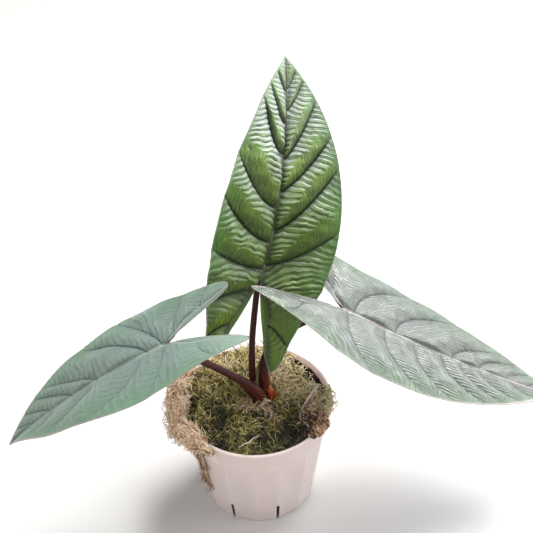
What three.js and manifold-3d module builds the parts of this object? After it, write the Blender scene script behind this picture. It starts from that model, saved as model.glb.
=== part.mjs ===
// Potted Alocasia scalprum: three arrow-shaped quilted leaves on dark stems, in a small
// slotted nursery pot dressed with sphagnum moss.
//
// Units are millimetres and degrees, and +Z is up. The origin is the centre of the pot's
// underside. The front of the plant faces -Y, and +X is on the right of a viewer in front.
// A bearing is an angle about the pot's axis, measured from the front, positive toward +X.

import * as THREE from 'three';
import { mergeVertices } from 'three/addons/utils/BufferGeometryUtils.js';
import Module from 'manifold-3d';

const wasm = await Module();
wasm.setup();

// Driving dimensions

const CLEARANCE = 0.3; // between pieces that touch
const LEAF_CLEARANCE = 0.4; // between a stem's top and its leaf

const POT_HEIGHT = 73;
const POT_BASE_RADIUS = 34.4; // to the corners of the faceted wall
const POT_RIM_RADIUS = 44;
const COLLAR_BOTTOM = 57.3; // the faceted wall ends here and the round collar begins
const COLLAR_STEP = 0.5; // how far the collar stands out past the facets
const WALL = 1.6;
const FLOOR = 2;
const RIM_BEAD_HEIGHT = 1.6;
const ROUND_SIDES = 48;

const SLOTS = 8;
const SLOT_WIDTH = 1.9;
const SLOT_HEIGHT = 15;
const FIRST_SLOT_BEARING = 17.1;
const WIDE_FACET = 24.5; // the facets alternate between a wide one and a narrow one

const SUBSTRATE_TOP = 60;
const MOSS_EDGE_HEIGHT = 70.3;
const MOSS_DOME = 4.2; // how much higher the moss is in the middle
const MOSS_LUMP = 1.1;
const MOSS_RINGS = 12;
const MOSS_SPOKES = 44;

const BLADE = 0.8; // thickness of a leaf
const QUILT = 1.5; // how far the blade puffs up between two side veins
const RIPPLE = 0.35; // the fine cross ridges on each puff
const VEIN_GROOVE = 0.3;
const MIDRIB_GROOVE = 0.5;
const MIDRIB_KEEL = 1.7; // depth of the midrib under the blade, at the stem

// Outline of a blade, as shares of its length and of its greatest half width

const WIDEST = 0.17;
const SINUS_WIDTH = 0.95;
const LOBE_MIDDLE = SINUS_WIDTH / 2;
const LOBE_DRIFT = 0.075;
const LOBE_TAPER = 0.75;
const LOBE_RIB_PLACE = 0.25;
const VEIN_SWEEP = 0.3; // how far a side vein runs forward on its way to the margin
const LOBE_VEIN_SWEEP = 0.12;
const VEIN_CURVE = 1.6;

// Where the side veins leave the midrib and the ribs of the two back lobes

const FRONT_VEINS = [0, 0.065, 0.215, 0.37, 0.575, 0.75, 1];
const LOBE_VEINS = [0, 0.35, 0.7, 1];
const PANEL_STEPS = [0, 0.2, 0.8]; // rows of points in the panel between two veins
const ACROSS = [0, 0.06, 0.2, 0.34, 0.48, 0.62, 0.75, 0.88, 1]; // from the rib to the margin
const INNER_STRIP = [0.2, 1]; // from the rib of a lobe to its inner margin

// The three leaves. The sinus is where the stem meets the blade. There the heading is the way
// the blade points seen from above, counted from +X toward +Y, rise is its angle above level,
// and roll tips its right half down. From the sinus to the tip, bend is how far it droops and
// curve is how far the tip swings to its right. The right half is the one on the right of a
// viewer who looks down on the blade with the tip pointing away. For each half, lobe is the
// length of the back lobe, spread and lift are how far it splays and rises, fold is its slope
// up from the midrib, with foldGain more at the tip and lobeFlat less at the end of the lobe,
// and arch is how far it curls down again toward the margin.

const LEAVES = {
  centre: {
    sinus: new THREE.Vector3(5.8, 17.8, 149.7),
    heading: 54.8,
    rise: 58.6,
    roll: 57.7,
    length: 124.9,
    halfWidth: 37.5,
    taper: 2.07,
    bend: 34.4,
    curve: -1.8,
    right: { side: 1, lobe: 51.5, spread: 0.02, lift: 22.2, fold: 22.4, foldGain: 8.1, arch: 9.7, lobeFlat: 9.1 },
    left: { side: -1, lobe: 47.2, spread: 0.03, lift: -6.5, fold: 13.6, foldGain: 6.3, arch: 11.3, lobeFlat: 11.5 },
  },
  left: {
    sinus: new THREE.Vector3(-44.3, -29.9, 148.9),
    heading: 188.7,
    rise: -23.2,
    roll: 0.3,
    length: 110.4,
    halfWidth: 30.8,
    taper: 1.84,
    bend: 22.2,
    curve: 3.5,
    right: { side: 1, lobe: 41.3, spread: 0.11, lift: -0.7, fold: 19.3, foldGain: 2.4, arch: 34.7, lobeFlat: -11.4 },
    left: { side: -1, lobe: 42.8, spread: 0.08, lift: -23.6, fold: 10.2, foldGain: 6, arch: 20.5, lobeFlat: -7.5 },
  },
  right: {
    sinus: new THREE.Vector3(51.5, 14.5, 127.7),
    heading: -13.6,
    rise: -27.8,
    roll: -1.6,
    length: 135.2,
    halfWidth: 37.4,
    taper: 2.15,
    bend: -8,
    curve: -6.5,
    right: { side: 1, lobe: 52.8, spread: 0.07, lift: -17, fold: 9.4, foldGain: -13.6, arch: 13.3, lobeFlat: -13.8 },
    left: { side: -1, lobe: 45.8, spread: 0.16, lift: 21.5, fold: 14.8, foldGain: -13.1, arch: 25.3, lobeFlat: -12.7 },
  },
};

// The stems, from the rhizome up to just short of the sinus. Each radius is given at a share
// of the stem's length, so the sheath at the foot is wider than the stalk.

const STEMS = {
  left: {
    route: [[3.4, -3.1, 66], [2.6, -3.4, 77], [-4.6, -6, 90.5], [-15.6, -12, 107.6], [-26.2, -18.4, 122.8],
      [-36, -24.6, 137]],
    radii: [[0, 3.4], [0.12, 3.3], [0.28, 2.3], [0.5, 1.95], [1, 1.9]],
  },
  right: {
    route: [[5.4, 2.8, 66], [5, 3.2, 77], [4.6, 5.2, 89], [8, 8, 101.8], [18, 11, 113.4], [32.4, 13, 121.6]],
    radii: [[0, 3], [0.1, 3.2], [0.22, 3.3], [0.36, 2.2], [0.6, 1.9], [1, 1.9]],
  },
  centre: {
    route: [[-0.8, 3.2, 66], [-1, 3.4, 77], [-1.4, 5, 88], [-0.8, 9, 108], [1, 13.2, 124], [3, 17, 138]],
    radii: [[0, 2.2], [0.15, 2.1], [0.4, 1.85], [1, 1.75]],
  },
};
const STEM_SIDES = 10;
const STEM_STEPS = 14;
const STEM_SEAT = 2.8; // how far below the blade the top of a stem is centred
const STEM_OVERLAP = 3.5; // how far it runs on under the midrib

const RHIZOME_CENTRE = new THREE.Vector2(4, 0.4);
const RHIZOME_RADIUS = 8.2;
const RHIZOME_TOP = 71;
const RHIZOME_BOTTOM = 47;
const ROOTS = 5;
const ROOT_RADIUS = 1.3;

const BUD_FOOT = new THREE.Vector3(10.4, -2, 66);
const BUD_TIP = new THREE.Vector3(10.6, 0.8, 87.5);
const BUD_RADIUS = 2.3;

// Plain functions for closed meshes

const smooth = (value) => THREE.MathUtils.smoothstep(value, 0, 1);
const radians = THREE.MathUtils.degToRad;

function atBearing(bearing, radius, z) {
  const angle = radians(bearing);
  return new THREE.Vector3(radius * Math.sin(angle), -radius * Math.cos(angle), z);
}

function closedGeometry(points, triangles) {
  const geometry = new THREE.BufferGeometry().setFromPoints(points);
  geometry.setIndex(triangles.flat());
  return geometry;
}

function toSolid(geometry) {
  const bare = geometry.clone();
  bare.deleteAttribute('normal');
  bare.deleteAttribute('uv');
  const merged = mergeVertices(bare, 1e-4);
  return new wasm.Manifold(new wasm.Mesh({
    numProp: 3,
    vertProperties: new Float32Array(merged.attributes.position.array),
    triVerts: new Uint32Array(merged.index.array),
  }));
}

function largestPiece(solid) {
  return solid.decompose().sort((a, b) => b.volume() - a.volume())[0];
}

function toGeometry(solid) {
  const mesh = largestPiece(solid).getMesh();
  const geometry = new THREE.BufferGeometry();
  geometry.setAttribute('position', new THREE.BufferAttribute(new Float32Array(mesh.vertProperties), 3));
  geometry.setIndex(new THREE.BufferAttribute(new Uint32Array(mesh.triVerts), 1));
  return geometry;
}

// Joins closed rings of points, given from first to last, into a body with flat ends
function loft(rings) {
  const sides = rings[0].length;
  const points = rings.flat();
  const triangles = [];
  for (let ring = 0; ring < rings.length - 1; ring += 1) {
    for (let k = 0; k < sides; k += 1) {
      const next = (k + 1) % sides;
      const a = ring * sides + k;
      const b = ring * sides + next;
      triangles.push([a, b, b + sides], [a, b + sides, a + sides]);
    }
  }
  const firstMiddle = points.length;
  const lastMiddle = firstMiddle + 1;
  const middleOf = (ring) => ring.reduce((sum, p) => sum.add(p), new THREE.Vector3()).divideScalar(sides);
  points.push(middleOf(rings[0]), middleOf(rings.at(-1)));
  const last = (rings.length - 1) * sides;
  for (let k = 0; k < sides; k += 1) {
    const next = (k + 1) % sides;
    triangles.push([firstMiddle, next, k], [lastMiddle, last + k, last + next]);
  }
  return closedGeometry(points, triangles);
}

// A body of revolution about Z, from a profile of [radius, z] pairs that starts and ends on the axis
function turned(profile, sides = ROUND_SIDES) {
  const outline = profile.map(([radius, z]) => new THREE.Vector2(radius, z));
  return new THREE.LatheGeometry(outline, sides).rotateX(Math.PI / 2);
}

// The value at a share of the way along, from a list of [share, value] pairs
function valueAlong(pairs, share) {
  const after = Math.max(1, pairs.findIndex(([place]) => place >= share));
  const [startPlace, start] = pairs[after - 1];
  const [endPlace, end] = pairs[after];
  return THREE.MathUtils.mapLinear(share, startPlace, endPlace, start, end);
}

// A round stalk of changing radius along a smooth curve, grown on all sides by a clearance
function stalk(route, radii, steps, sides, grow = 0) {
  const curve = new THREE.CatmullRomCurve3(route);
  const frames = curve.computeFrenetFrames(steps, false);
  const rings = [];
  for (let step = 0; step <= steps; step += 1) {
    const share = step / steps;
    const radius = valueAlong(radii, share) + grow;
    const middle = curve.getPointAt(share);
    if (step === 0) middle.addScaledVector(frames.tangents[step], -grow);
    if (step === steps) middle.addScaledVector(frames.tangents[step], grow);
    const ring = [];
    for (let k = 0; k < sides; k += 1) {
      const angle = (k / sides) * 2 * Math.PI;
      ring.push(middle.clone()
        .addScaledVector(frames.normals[step], radius * Math.cos(angle))
        .addScaledVector(frames.binormals[step], radius * Math.sin(angle)));
    }
    rings.push(ring);
  }
  return loft(rings);
}

// The pot: a faceted cone with a round collar and rim, hollow, with slots at its foot

const cavityProfile = [
  [FLOOR, POT_BASE_RADIUS - 2.1],
  [COLLAR_BOTTOM, POT_RIM_RADIUS - 4.7],
  [POT_HEIGHT, POT_RIM_RADIUS - WALL],
];
const cavityRadius = (z) => valueAlong(cavityProfile, z);

function facetCorners(radius, z) {
  const corners = [];
  for (let slot = 0; slot < SLOTS; slot += 1) {
    const bearing = FIRST_SLOT_BEARING + (slot * 360) / SLOTS;
    corners.push(atBearing(bearing, radius, z), atBearing(bearing + WIDE_FACET, radius, z));
  }
  return corners;
}

function collarOutline(grow = 0) {
  const bottom = POT_BASE_RADIUS + (POT_RIM_RADIUS - POT_BASE_RADIUS) * (COLLAR_BOTTOM / POT_HEIGHT);
  return [
    [0, COLLAR_BOTTOM - grow],
    [bottom + COLLAR_STEP + grow, COLLAR_BOTTOM - grow],
    [POT_RIM_RADIUS - 0.4 + grow, POT_HEIGHT - RIM_BEAD_HEIGHT],
    [POT_RIM_RADIUS + grow, POT_HEIGHT - RIM_BEAD_HEIGHT + 0.2],
    [POT_RIM_RADIUS + grow, POT_HEIGHT - 0.3],
    [POT_RIM_RADIUS - 0.4 + grow, POT_HEIGHT + grow],
    [0, POT_HEIGHT + grow],
  ];
}

function potGeometry() {
  const facetTop = POT_BASE_RADIUS + (POT_RIM_RADIUS - POT_BASE_RADIUS) * (COLLAR_BOTTOM / POT_HEIGHT);
  let body = toSolid(loft([facetCorners(POT_BASE_RADIUS, 0), facetCorners(facetTop, COLLAR_BOTTOM + 1)]));
  body = body.add(toSolid(turned(collarOutline())));
  const above = POT_HEIGHT + 5;
  const cavity = [[0, FLOOR], ...cavityProfile.map(([z, radius]) => [radius, z])];
  cavity.push([POT_RIM_RADIUS - WALL, above], [0, above]);
  body = body.subtract(toSolid(turned(cavity)));
  for (let slot = 0; slot < SLOTS; slot += 1) {
    const bearing = FIRST_SLOT_BEARING + (slot * 360) / SLOTS;
    const cutter = new THREE.BoxGeometry(SLOT_WIDTH, 8, SLOT_HEIGHT * 2);
    cutter.rotateZ(radians(bearing));
    cutter.translate(...atBearing(bearing, POT_BASE_RADIUS, 0).toArray());
    body = body.subtract(toSolid(cutter));
  }
  return toGeometry(body);
}

// A solid that keeps other pieces clear of the pot's wall and rim
function potKeepOut() {
  const footRadius = POT_BASE_RADIUS + CLEARANCE;
  const outline = collarOutline(CLEARANCE).slice(1, -1);
  const inner = [[cavityRadius(POT_HEIGHT) - CLEARANCE, POT_HEIGHT + CLEARANCE],
    [cavityRadius(COLLAR_BOTTOM) - CLEARANCE, COLLAR_BOTTOM]];
  return toSolid(turned([[0, -1], [footRadius, -1], ...outline, ...inner, [0, COLLAR_BOTTOM]]));
}

// The leaves. A point of the flat blade has x across it from the midrib, y along it from the
// sinus toward the tip, puff above the blade's own surface, and keel below it.

function bladeHalfWidth(leaf, along) {
  const narrowing = Math.max(along - WIDEST, 0) / (1 - WIDEST);
  const shoulder = SINUS_WIDTH + (1 - SINUS_WIDTH) * smooth(along / WIDEST);
  return leaf.halfWidth * shoulder * (1 - narrowing ** leaf.taper);
}

function lobeEdges(leaf, half, share) {
  const middle = leaf.halfWidth * (LOBE_MIDDLE - LOBE_DRIFT * share) + half.spread * share * half.lobe;
  const reach = leaf.halfWidth * LOBE_MIDDLE * (1 - share) ** LOBE_TAPER;
  return [middle - reach, middle + reach];
}

function quilting(column, isVein, size) {
  const across = ACROSS[column];
  const level = smooth(across / 0.2) * (1 - 0.8 * smooth((across - 0.7) / 0.3));
  if (isVein) return -VEIN_GROOVE * level;
  const ridge = column > 1 && column < ACROSS.length - 1 ? RIPPLE * (-1) ** column : 0;
  return (QUILT * level + ridge) * size;
}

function frontPoint(leaf, along, isVein, column) {
  const across = ACROSS[column];
  const sweep = Math.min(VEIN_SWEEP * (1 - along) ** 0.7, 0.85 * (1 - along)) * smooth(along / 0.15);
  const marginAlong = along + sweep;
  const keel = isVein ? 0.5 * (1 - across) : 0;
  return {
    x: bladeHalfWidth(leaf, marginAlong) * across,
    y: leaf.length * (along + sweep * across ** VEIN_CURVE),
    puff: column === 0 ? -MIDRIB_GROOVE * (1 - along) : quilting(column, isVein, Math.sqrt(1 - along)),
    keel: column === 0 ? MIDRIB_KEEL * (1 - 0.8 * along) : keel,
  };
}

function lobePoint(leaf, half, share, isVein, column) {
  const across = ACROSS[column];
  const marginShare = share + LOBE_VEIN_SWEEP * Math.sin(Math.PI * share);
  const [inner, outer] = lobeEdges(leaf, half, share);
  const rib = inner + LOBE_RIB_PLACE * smooth(share / 0.4) * (outer - inner);
  const margin = lobeEdges(leaf, half, marginShare)[1];
  return {
    x: rib + (margin - rib) * across,
    y: -half.lobe * (share + (marginShare - share) * across ** VEIN_CURVE),
    puff: column === 0 ? -MIDRIB_GROOVE * (1 - share) : quilting(column, isVein, Math.sqrt(1 - share)),
    keel: column === 0 ? MIDRIB_KEEL * (1 - share) ** 1.5 : 0,
  };
}

function innerStripPoint(leaf, half, share, place) {
  const [inner, outer] = lobeEdges(leaf, half, share);
  const rib = inner + LOBE_RIB_PLACE * smooth(share / 0.4) * (outer - inner);
  return { x: rib + (inner - rib) * place, y: -half.lobe * share, puff: 0, keel: 0 };
}

function leafAxes(leaf) {
  const heading = radians(leaf.heading);
  const rise = radians(leaf.rise);
  const forward = new THREE.Vector3(
    Math.cos(rise) * Math.cos(heading),
    Math.cos(rise) * Math.sin(heading),
    Math.sin(rise),
  );
  const right = new THREE.Vector3(Math.sin(heading), -Math.cos(heading), 0);
  right.applyAxisAngle(forward, radians(leaf.roll));
  const up = new THREE.Vector3().crossVectors(right, forward);
  return { forward, right, up };
}

// Bends the flat blade into its place in space
function placePoint(leaf, half, { x, y }) {
  const { forward, right, up } = leafAxes(leaf);
  const front = Math.max(y, 0);
  const back = Math.max(-y, 0);
  const turnRate = radians(y >= 0 ? -leaf.bend : half.lift) / (y >= 0 ? leaf.length : half.lobe);
  const turn = turnRate * (front + back);
  const reach = Math.abs(turn) < 1e-6 ? front + back : Math.sin(turn) / turnRate;
  const climb = Math.abs(turn) < 1e-6 ? 0 : (1 - Math.cos(turn)) / turnRate;
  const outward = y >= 0 ? forward : forward.clone().negate();
  const normal = up.clone().multiplyScalar(Math.cos(turn)).addScaledVector(outward, -Math.sin(turn));
  const along = front / leaf.length;
  const tilt = radians(half.fold + half.foldGain * along - (half.lobeFlat * back) / half.lobe);
  const archRate = radians(half.arch) / leaf.halfWidth;
  const over = (Math.sin(tilt) - Math.sin(tilt - archRate * x)) / archRate;
  const lifted = (Math.cos(tilt - archRate * x) - Math.cos(tilt)) / archRate;
  const position = leaf.sinus.clone()
    .addScaledVector(outward, reach)
    .addScaledVector(up, climb)
    .addScaledVector(right, leaf.curve * along ** 2 + half.side * over)
    .addScaledVector(normal, lifted);
  const lean = x === 0 ? 0 : tilt - archRate * x;
  const facing = normal.multiplyScalar(Math.cos(lean)).addScaledVector(right, -half.side * Math.sin(lean));
  return { position, facing };
}

function veinRows(veins) {
  const rows = [];
  for (let panel = 0; panel < veins.length - 1; panel += 1) {
    for (const step of PANEL_STEPS) {
      const place = veins[panel] + step * (veins[panel + 1] - veins[panel]);
      rows.push({ place, isVein: step === 0 });
    }
  }
  return rows;
}

function leafGeometry(leaf, grow = 0) {
  const tops = [];
  const bottoms = [];
  const topTriangles = [];

  function addPoint(half, flat) {
    const { position, facing } = placePoint(leaf, half, flat);
    tops.push(position.clone().addScaledVector(facing, flat.puff + grow));
    bottoms.push(position.clone().addScaledVector(facing, flat.puff - BLADE - flat.keel - grow));
    return tops.length - 1;
  }

  function addStrip(half, nearRow, farRow) {
    for (let k = 0; k < nearRow.length - 1; k += 1) {
      const corners = [nearRow[k], nearRow[k + 1], farRow[k + 1], farRow[k]];
      if (half.side < 0) corners.reverse();
      const [a, b, c, d] = corners;
      for (const triangle of [[a, b, c], [a, c, d]]) {
        if (new Set(triangle).size === 3) topTriangles.push(triangle);
      }
    }
  }

  const frontRows = veinRows(FRONT_VEINS);
  const lobeRows = veinRows(LOBE_VEINS).slice(1);
  const midrib = frontRows.map(({ place, isVein }) => addPoint(leaf.right, frontPoint(leaf, place, isVein, 0)));
  const tip = addPoint(leaf.right, { x: 0, y: leaf.length, puff: 0, keel: 0 });

  for (const half of [leaf.right, leaf.left]) {
    const front = frontRows.map(({ place, isVein }, row) => ACROSS.map((_, column) => (
      column === 0 ? midrib[row] : addPoint(half, frontPoint(leaf, place, isVein, column))
    )));
    front.push(ACROSS.map(() => tip));
    front.slice(1).forEach((row, index) => addStrip(half, front[index], row));

    const sinusStrip = INNER_STRIP.map(() => midrib[0]);
    const lobe = [[...sinusStrip, ...front[0]]];
    for (const { place, isVein } of lobeRows) {
      const strip = INNER_STRIP.map((step) => addPoint(half, innerStripPoint(leaf, half, place, step))).reverse();
      const blade = ACROSS.map((_, column) => addPoint(half, lobePoint(leaf, half, place, isVein, column)));
      lobe.push([...strip, ...blade]);
    }
    const end = addPoint(half, innerStripPoint(leaf, half, 1, 1));
    lobe.push(lobe[0].map(() => end));
    lobe.slice(1).forEach((row, index) => addStrip(half, row, lobe[index]));
  }

  // The underside repeats the triangles the other way round, and a wall closes every open edge
  const count = tops.length;
  const triangles = [...topTriangles, ...topTriangles.map(([a, b, c]) => [a + count, c + count, b + count])];
  const edges = new Set(topTriangles.flatMap(([a, b, c]) => [`${a},${b}`, `${b},${c}`, `${c},${a}`]));
  for (const edge of edges) {
    const [a, b] = edge.split(',').map(Number);
    if (!edges.has(`${b},${a}`)) triangles.push([a, a + count, b + count], [a, b + count, b]);
  }
  return closedGeometry([...tops, ...bottoms], triangles);
}

// The stems

function stemSolid(name, grow = 0) {
  const leaf = LEAVES[name];
  const { forward, up } = leafAxes(leaf);
  const seat = leaf.sinus.clone().addScaledVector(up, -STEM_SEAT);
  const route = STEMS[name].route.map((place) => new THREE.Vector3(...place));
  route.push(seat.clone().addScaledVector(forward, -1), seat.addScaledVector(forward, STEM_OVERLAP));
  return toSolid(stalk(route, STEMS[name].radii, STEM_STEPS, STEM_SIDES, grow));
}

function stemGeometry(name, grownNeighbours) {
  let stem = stemSolid(name);
  const { forward, right } = leafAxes(LEAVES[name]);
  for (const direction of [right, right.clone().negate(), forward.negate()]) {
    const shift = direction.clone().multiplyScalar(LEAF_CLEARANCE);
    stem = stem.subtract(toSolid(leafGeometry(LEAVES[name], LEAF_CLEARANCE).translate(...shift)));
  }
  for (const neighbour of grownNeighbours) stem = stem.subtract(neighbour);
  return toGeometry(stem);
}

// The rhizome is a stub that carries the stems, with roots that spread through the substrate

function rootRoute(index) {
  const bearing = 20 + (index * 360) / ROOTS;
  const foot = new THREE.Vector3(RHIZOME_CENTRE.x, RHIZOME_CENTRE.y, 0);
  const drop = index % 2 === 0 ? 0 : 5;
  return [
    atBearing(bearing, 1, RHIZOME_BOTTOM + 6).add(foot),
    atBearing(bearing + 6, 10, RHIZOME_BOTTOM - 4 - drop).add(foot),
    atBearing(bearing + 18, 19, RHIZOME_BOTTOM - 14 - drop).add(foot),
    atBearing(bearing + 12, 22, RHIZOME_BOTTOM - 27 - drop).add(foot),
  ];
}

function rhizomeSolid(grow = 0) {
  const stub = turned([
    [0, RHIZOME_BOTTOM - grow],
    [RHIZOME_RADIUS * 0.45 + grow, RHIZOME_BOTTOM - grow],
    [RHIZOME_RADIUS * 0.9 + grow, RHIZOME_BOTTOM + 8],
    [RHIZOME_RADIUS + grow, RHIZOME_TOP - 7],
    [RHIZOME_RADIUS * 0.95 + grow, RHIZOME_TOP - 1.5],
    [RHIZOME_RADIUS * 0.8 + grow, RHIZOME_TOP + grow],
    [0, RHIZOME_TOP + grow],
  ], 14);
  stub.translate(RHIZOME_CENTRE.x, RHIZOME_CENTRE.y, 0);
  let solid = toSolid(stub);
  const radii = [[0, ROOT_RADIUS], [1, ROOT_RADIUS * 0.6]];
  for (let root = 0; root < ROOTS; root += 1) {
    solid = solid.add(toSolid(stalk(rootRoute(root), radii, 6, 6, grow)));
  }
  return solid;
}

// The bud is the pointed sheath of the next leaf
function budSolid(grow = 0) {
  const middle = BUD_FOOT.clone().lerp(BUD_TIP, 0.5).add(new THREE.Vector3(0.5, -0.3, 0));
  const radii = [[0, BUD_RADIUS], [0.5, BUD_RADIUS], [0.8, BUD_RADIUS * 0.62], [1, 0.4]];
  return toSolid(stalk([BUD_FOOT, middle, BUD_TIP], radii, 8, 8, grow));
}

// The growing medium: a plain fill, and a lumpy mat of moss on top of it

function substrateSolid() {
  const foot = FLOOR + CLEARANCE;
  return toSolid(turned([
    [0, foot],
    [cavityRadius(foot) - CLEARANCE, foot],
    [cavityRadius(COLLAR_BOTTOM) - CLEARANCE, COLLAR_BOTTOM],
    [cavityRadius(SUBSTRATE_TOP) - CLEARANCE, SUBSTRATE_TOP],
    [0, SUBSTRATE_TOP],
  ]));
}

function lumps(x, y) {
  return Math.sin(0.62 * x + 1.3 * Math.sin(0.23 * y)) * Math.cos(0.55 * y - 0.8)
    + 0.6 * Math.sin(1.1 * x - 0.7 * y + 2) * Math.cos(0.9 * y + 0.4 * x);
}

function mossHeight(x, y) {
  const share = Math.hypot(x, y) / POT_RIM_RADIUS;
  return MOSS_EDGE_HEIGHT + MOSS_DOME * (1 - share ** 2) + MOSS_LUMP * lumps(x, y);
}

// The mat shrinks away from the wall at the back right, where the pot's inside shows
function mossEdgeShrink(bearing) {
  const away = Math.abs(((bearing - 118 + 540) % 360) - 180);
  return 5 * (1 - smooth(away / 42));
}

function mossSolid(grow = 0) {
  const foot = SUBSTRATE_TOP + CLEARANCE - grow;
  const rings = [];
  const footRing = [];
  for (let spoke = 0; spoke < MOSS_SPOKES; spoke += 1) {
    const bearing = (spoke * 360) / MOSS_SPOKES;
    footRing.push(atBearing(bearing, cavityRadius(foot) - 2 * CLEARANCE + grow, foot));
  }
  rings.push(footRing);
  for (let step = MOSS_RINGS; step > 0; step -= 1) {
    const ring = [];
    for (let spoke = 0; spoke < MOSS_SPOKES; spoke += 1) {
      const bearing = (spoke * 360) / MOSS_SPOKES;
      const edge = cavityRadius(MOSS_EDGE_HEIGHT - 2) - 2 * CLEARANCE + grow - mossEdgeShrink(bearing);
      const point = atBearing(bearing, (edge * step) / MOSS_RINGS, 0);
      const sag = step === MOSS_RINGS ? 2 : 0;
      point.z = mossHeight(point.x, point.y) - sag + grow;
      ring.push(point);
    }
    rings.push(ring);
  }
  return toSolid(loft(rings));
}

// A clump of loose moss that lies over the rim between two bearings
function rimClump({ from, to, radius, z, wide, tall, steps, sides }) {
  const rings = [];
  for (let step = 0; step <= steps; step += 1) {
    const share = step / steps;
    const bearing = THREE.MathUtils.lerp(from, to, share);
    const size = 0.25 + 0.75 * Math.sin(Math.PI * share) ** 0.6;
    const ring = [];
    for (let k = 0; k < sides; k += 1) {
      const angle = (k / sides) * 2 * Math.PI;
      const bump = 1 + 0.16 * Math.sin(3.1 * step + 2.3 * k) + 0.1 * Math.cos(1.7 * step * k);
      const out = radius + wide * size * bump * Math.cos(angle);
      ring.push(atBearing(bearing, out, z + tall * size * bump * Math.sin(angle)));
    }
    rings.push(ring);
  }
  return toSolid(loft(rings));
}

const LEFT_CLUMP = { from: -38, to: -126, radius: 45.4, z: 70.5, wide: 6.4, tall: 7.4, steps: 20, sides: 10 };
const RIGHT_CLUMP = { from: 66, to: 44, radius: 42.6, z: 73.4, wide: 3.6, tall: 3.2, steps: 6, sides: 8 };

// Wisps of moss trail from the left clump down the outside of the wall
function trailingWisp(bearing, length) {
  const wallRadius = (z) => THREE.MathUtils.mapLinear(z, 0, POT_HEIGHT, POT_BASE_RADIUS, POT_RIM_RADIUS);
  const top = LEFT_CLUMP.z - 1;
  const route = [0, 0.35, 0.7, 1].map((share, index) => {
    const z = top - length * share;
    return atBearing(bearing + (index % 2) * 2, wallRadius(z) + 2.9, z);
  });
  return toSolid(stalk(route, [[0, 1.9], [0.6, 1.4], [1, 0.5]], 8, 6));
}

function leftClumpGeometry() {
  let clump = rimClump(LEFT_CLUMP);
  clump = clump.add(trailingWisp(-50, 43)).add(trailingWisp(-66, 24));
  return toGeometry(clump.subtract(potKeepOut()).subtract(mossSolid(CLEARANCE)));
}

function rightClumpGeometry() {
  const clump = rimClump(RIGHT_CLUMP);
  return toGeometry(clump.subtract(potKeepOut()).subtract(mossSolid(CLEARANCE)));
}

// A bare dead root that lies on the moss
function twigSolid(grow = 0) {
  const route = [[36.2, 4], [31.4, -5], [27.6, -11.5], [25, -19]].map(([x, y], index) => (
    new THREE.Vector3(x, y, mossHeight(x, y) + [0.9, 1.2, 0.9, 0.3][index])
  ));
  return toSolid(stalk(route, [[0, 0.35], [0.5, 0.5], [1, 0.35]], 8, 6, grow));
}

// The plant in its pot

const plant = new THREE.Group();

function addPiece(name, geometry, color, roughness) {
  const material = new THREE.MeshStandardMaterial({ color, roughness, metalness: 0 });
  const mesh = new THREE.Mesh(geometry, material);
  mesh.name = name;
  plant.add(mesh);
}

const grownStems = {
  left: stemSolid('left', CLEARANCE),
  right: stemSolid('right', CLEARANCE),
  centre: stemSolid('centre', CLEARANCE),
};
const everyGrownStem = [...Object.values(grownStems), budSolid(CLEARANCE)];
const cutAway = (solid, cutters) => toGeometry(cutters.reduce((left, cutter) => left.subtract(cutter), solid));

addPiece('pot', potGeometry(), 0xe8dcd8, 0.45);
addPiece('substrate', cutAway(substrateSolid(), [rhizomeSolid(CLEARANCE)]), 0x4a3626, 1);
addPiece('moss_mat', cutAway(mossSolid(), [rhizomeSolid(CLEARANCE), ...everyGrownStem, twigSolid(CLEARANCE)]),
  0x7b7a45, 1);
addPiece('moss_clump_left', leftClumpGeometry(), 0xa08a5c, 1);
addPiece('moss_clump_right', rightClumpGeometry(), 0x6b4a30, 1);
addPiece('twig', toGeometry(twigSolid()), 0xc49a86, 0.8);
addPiece('rhizome', cutAway(rhizomeSolid(), everyGrownStem), 0x5a4030, 0.9);
addPiece('bud', toGeometry(budSolid()), 0xb8502c, 0.5);
addPiece('stem_left', stemGeometry('left', []), 0x3a1a1c, 0.45);
addPiece('stem_right', stemGeometry('right', [grownStems.left]), 0x3a1a1c, 0.45);
addPiece('stem_centre', stemGeometry('centre', [grownStems.left, grownStems.right]), 0x3a1a1c, 0.45);
addPiece('leaf_centre', leafGeometry(LEAVES.centre), 0x3f6b2a, 0.35);
addPiece('leaf_left', leafGeometry(LEAVES.left), 0x7f9f90, 0.5);
addPiece('leaf_right', leafGeometry(LEAVES.right), 0x94a59c, 0.4);

export default plant;
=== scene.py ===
# %% [markdown]
# A young potted aroid with three arrow-shaped, quilted leaves.
# The packed CAD solids give every place and size. This file dresses them: it makes the
# finer surfaces that a camera sees, one cell at a time, and puts them where the solids are.
# Lengths inside the helpers are millimetres, because the plant is small, and each mesh is
# scaled to metres in one place.

# %% Load the packed solids
import math
import bpy
import numpy as np
from mathutils import Matrix, Vector


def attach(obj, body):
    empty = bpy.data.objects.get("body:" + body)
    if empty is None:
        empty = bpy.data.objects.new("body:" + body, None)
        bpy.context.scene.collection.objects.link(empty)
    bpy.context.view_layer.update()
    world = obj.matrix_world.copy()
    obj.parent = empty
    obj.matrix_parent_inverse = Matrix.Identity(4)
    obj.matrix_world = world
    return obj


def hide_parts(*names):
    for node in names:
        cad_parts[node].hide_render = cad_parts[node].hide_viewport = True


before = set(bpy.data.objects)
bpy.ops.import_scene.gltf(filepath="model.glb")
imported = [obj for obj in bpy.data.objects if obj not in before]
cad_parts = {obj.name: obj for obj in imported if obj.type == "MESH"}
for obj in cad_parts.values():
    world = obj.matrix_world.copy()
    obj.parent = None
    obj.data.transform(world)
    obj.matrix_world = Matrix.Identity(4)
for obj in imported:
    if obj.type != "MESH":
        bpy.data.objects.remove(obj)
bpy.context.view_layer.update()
MM = 0.001
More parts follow.
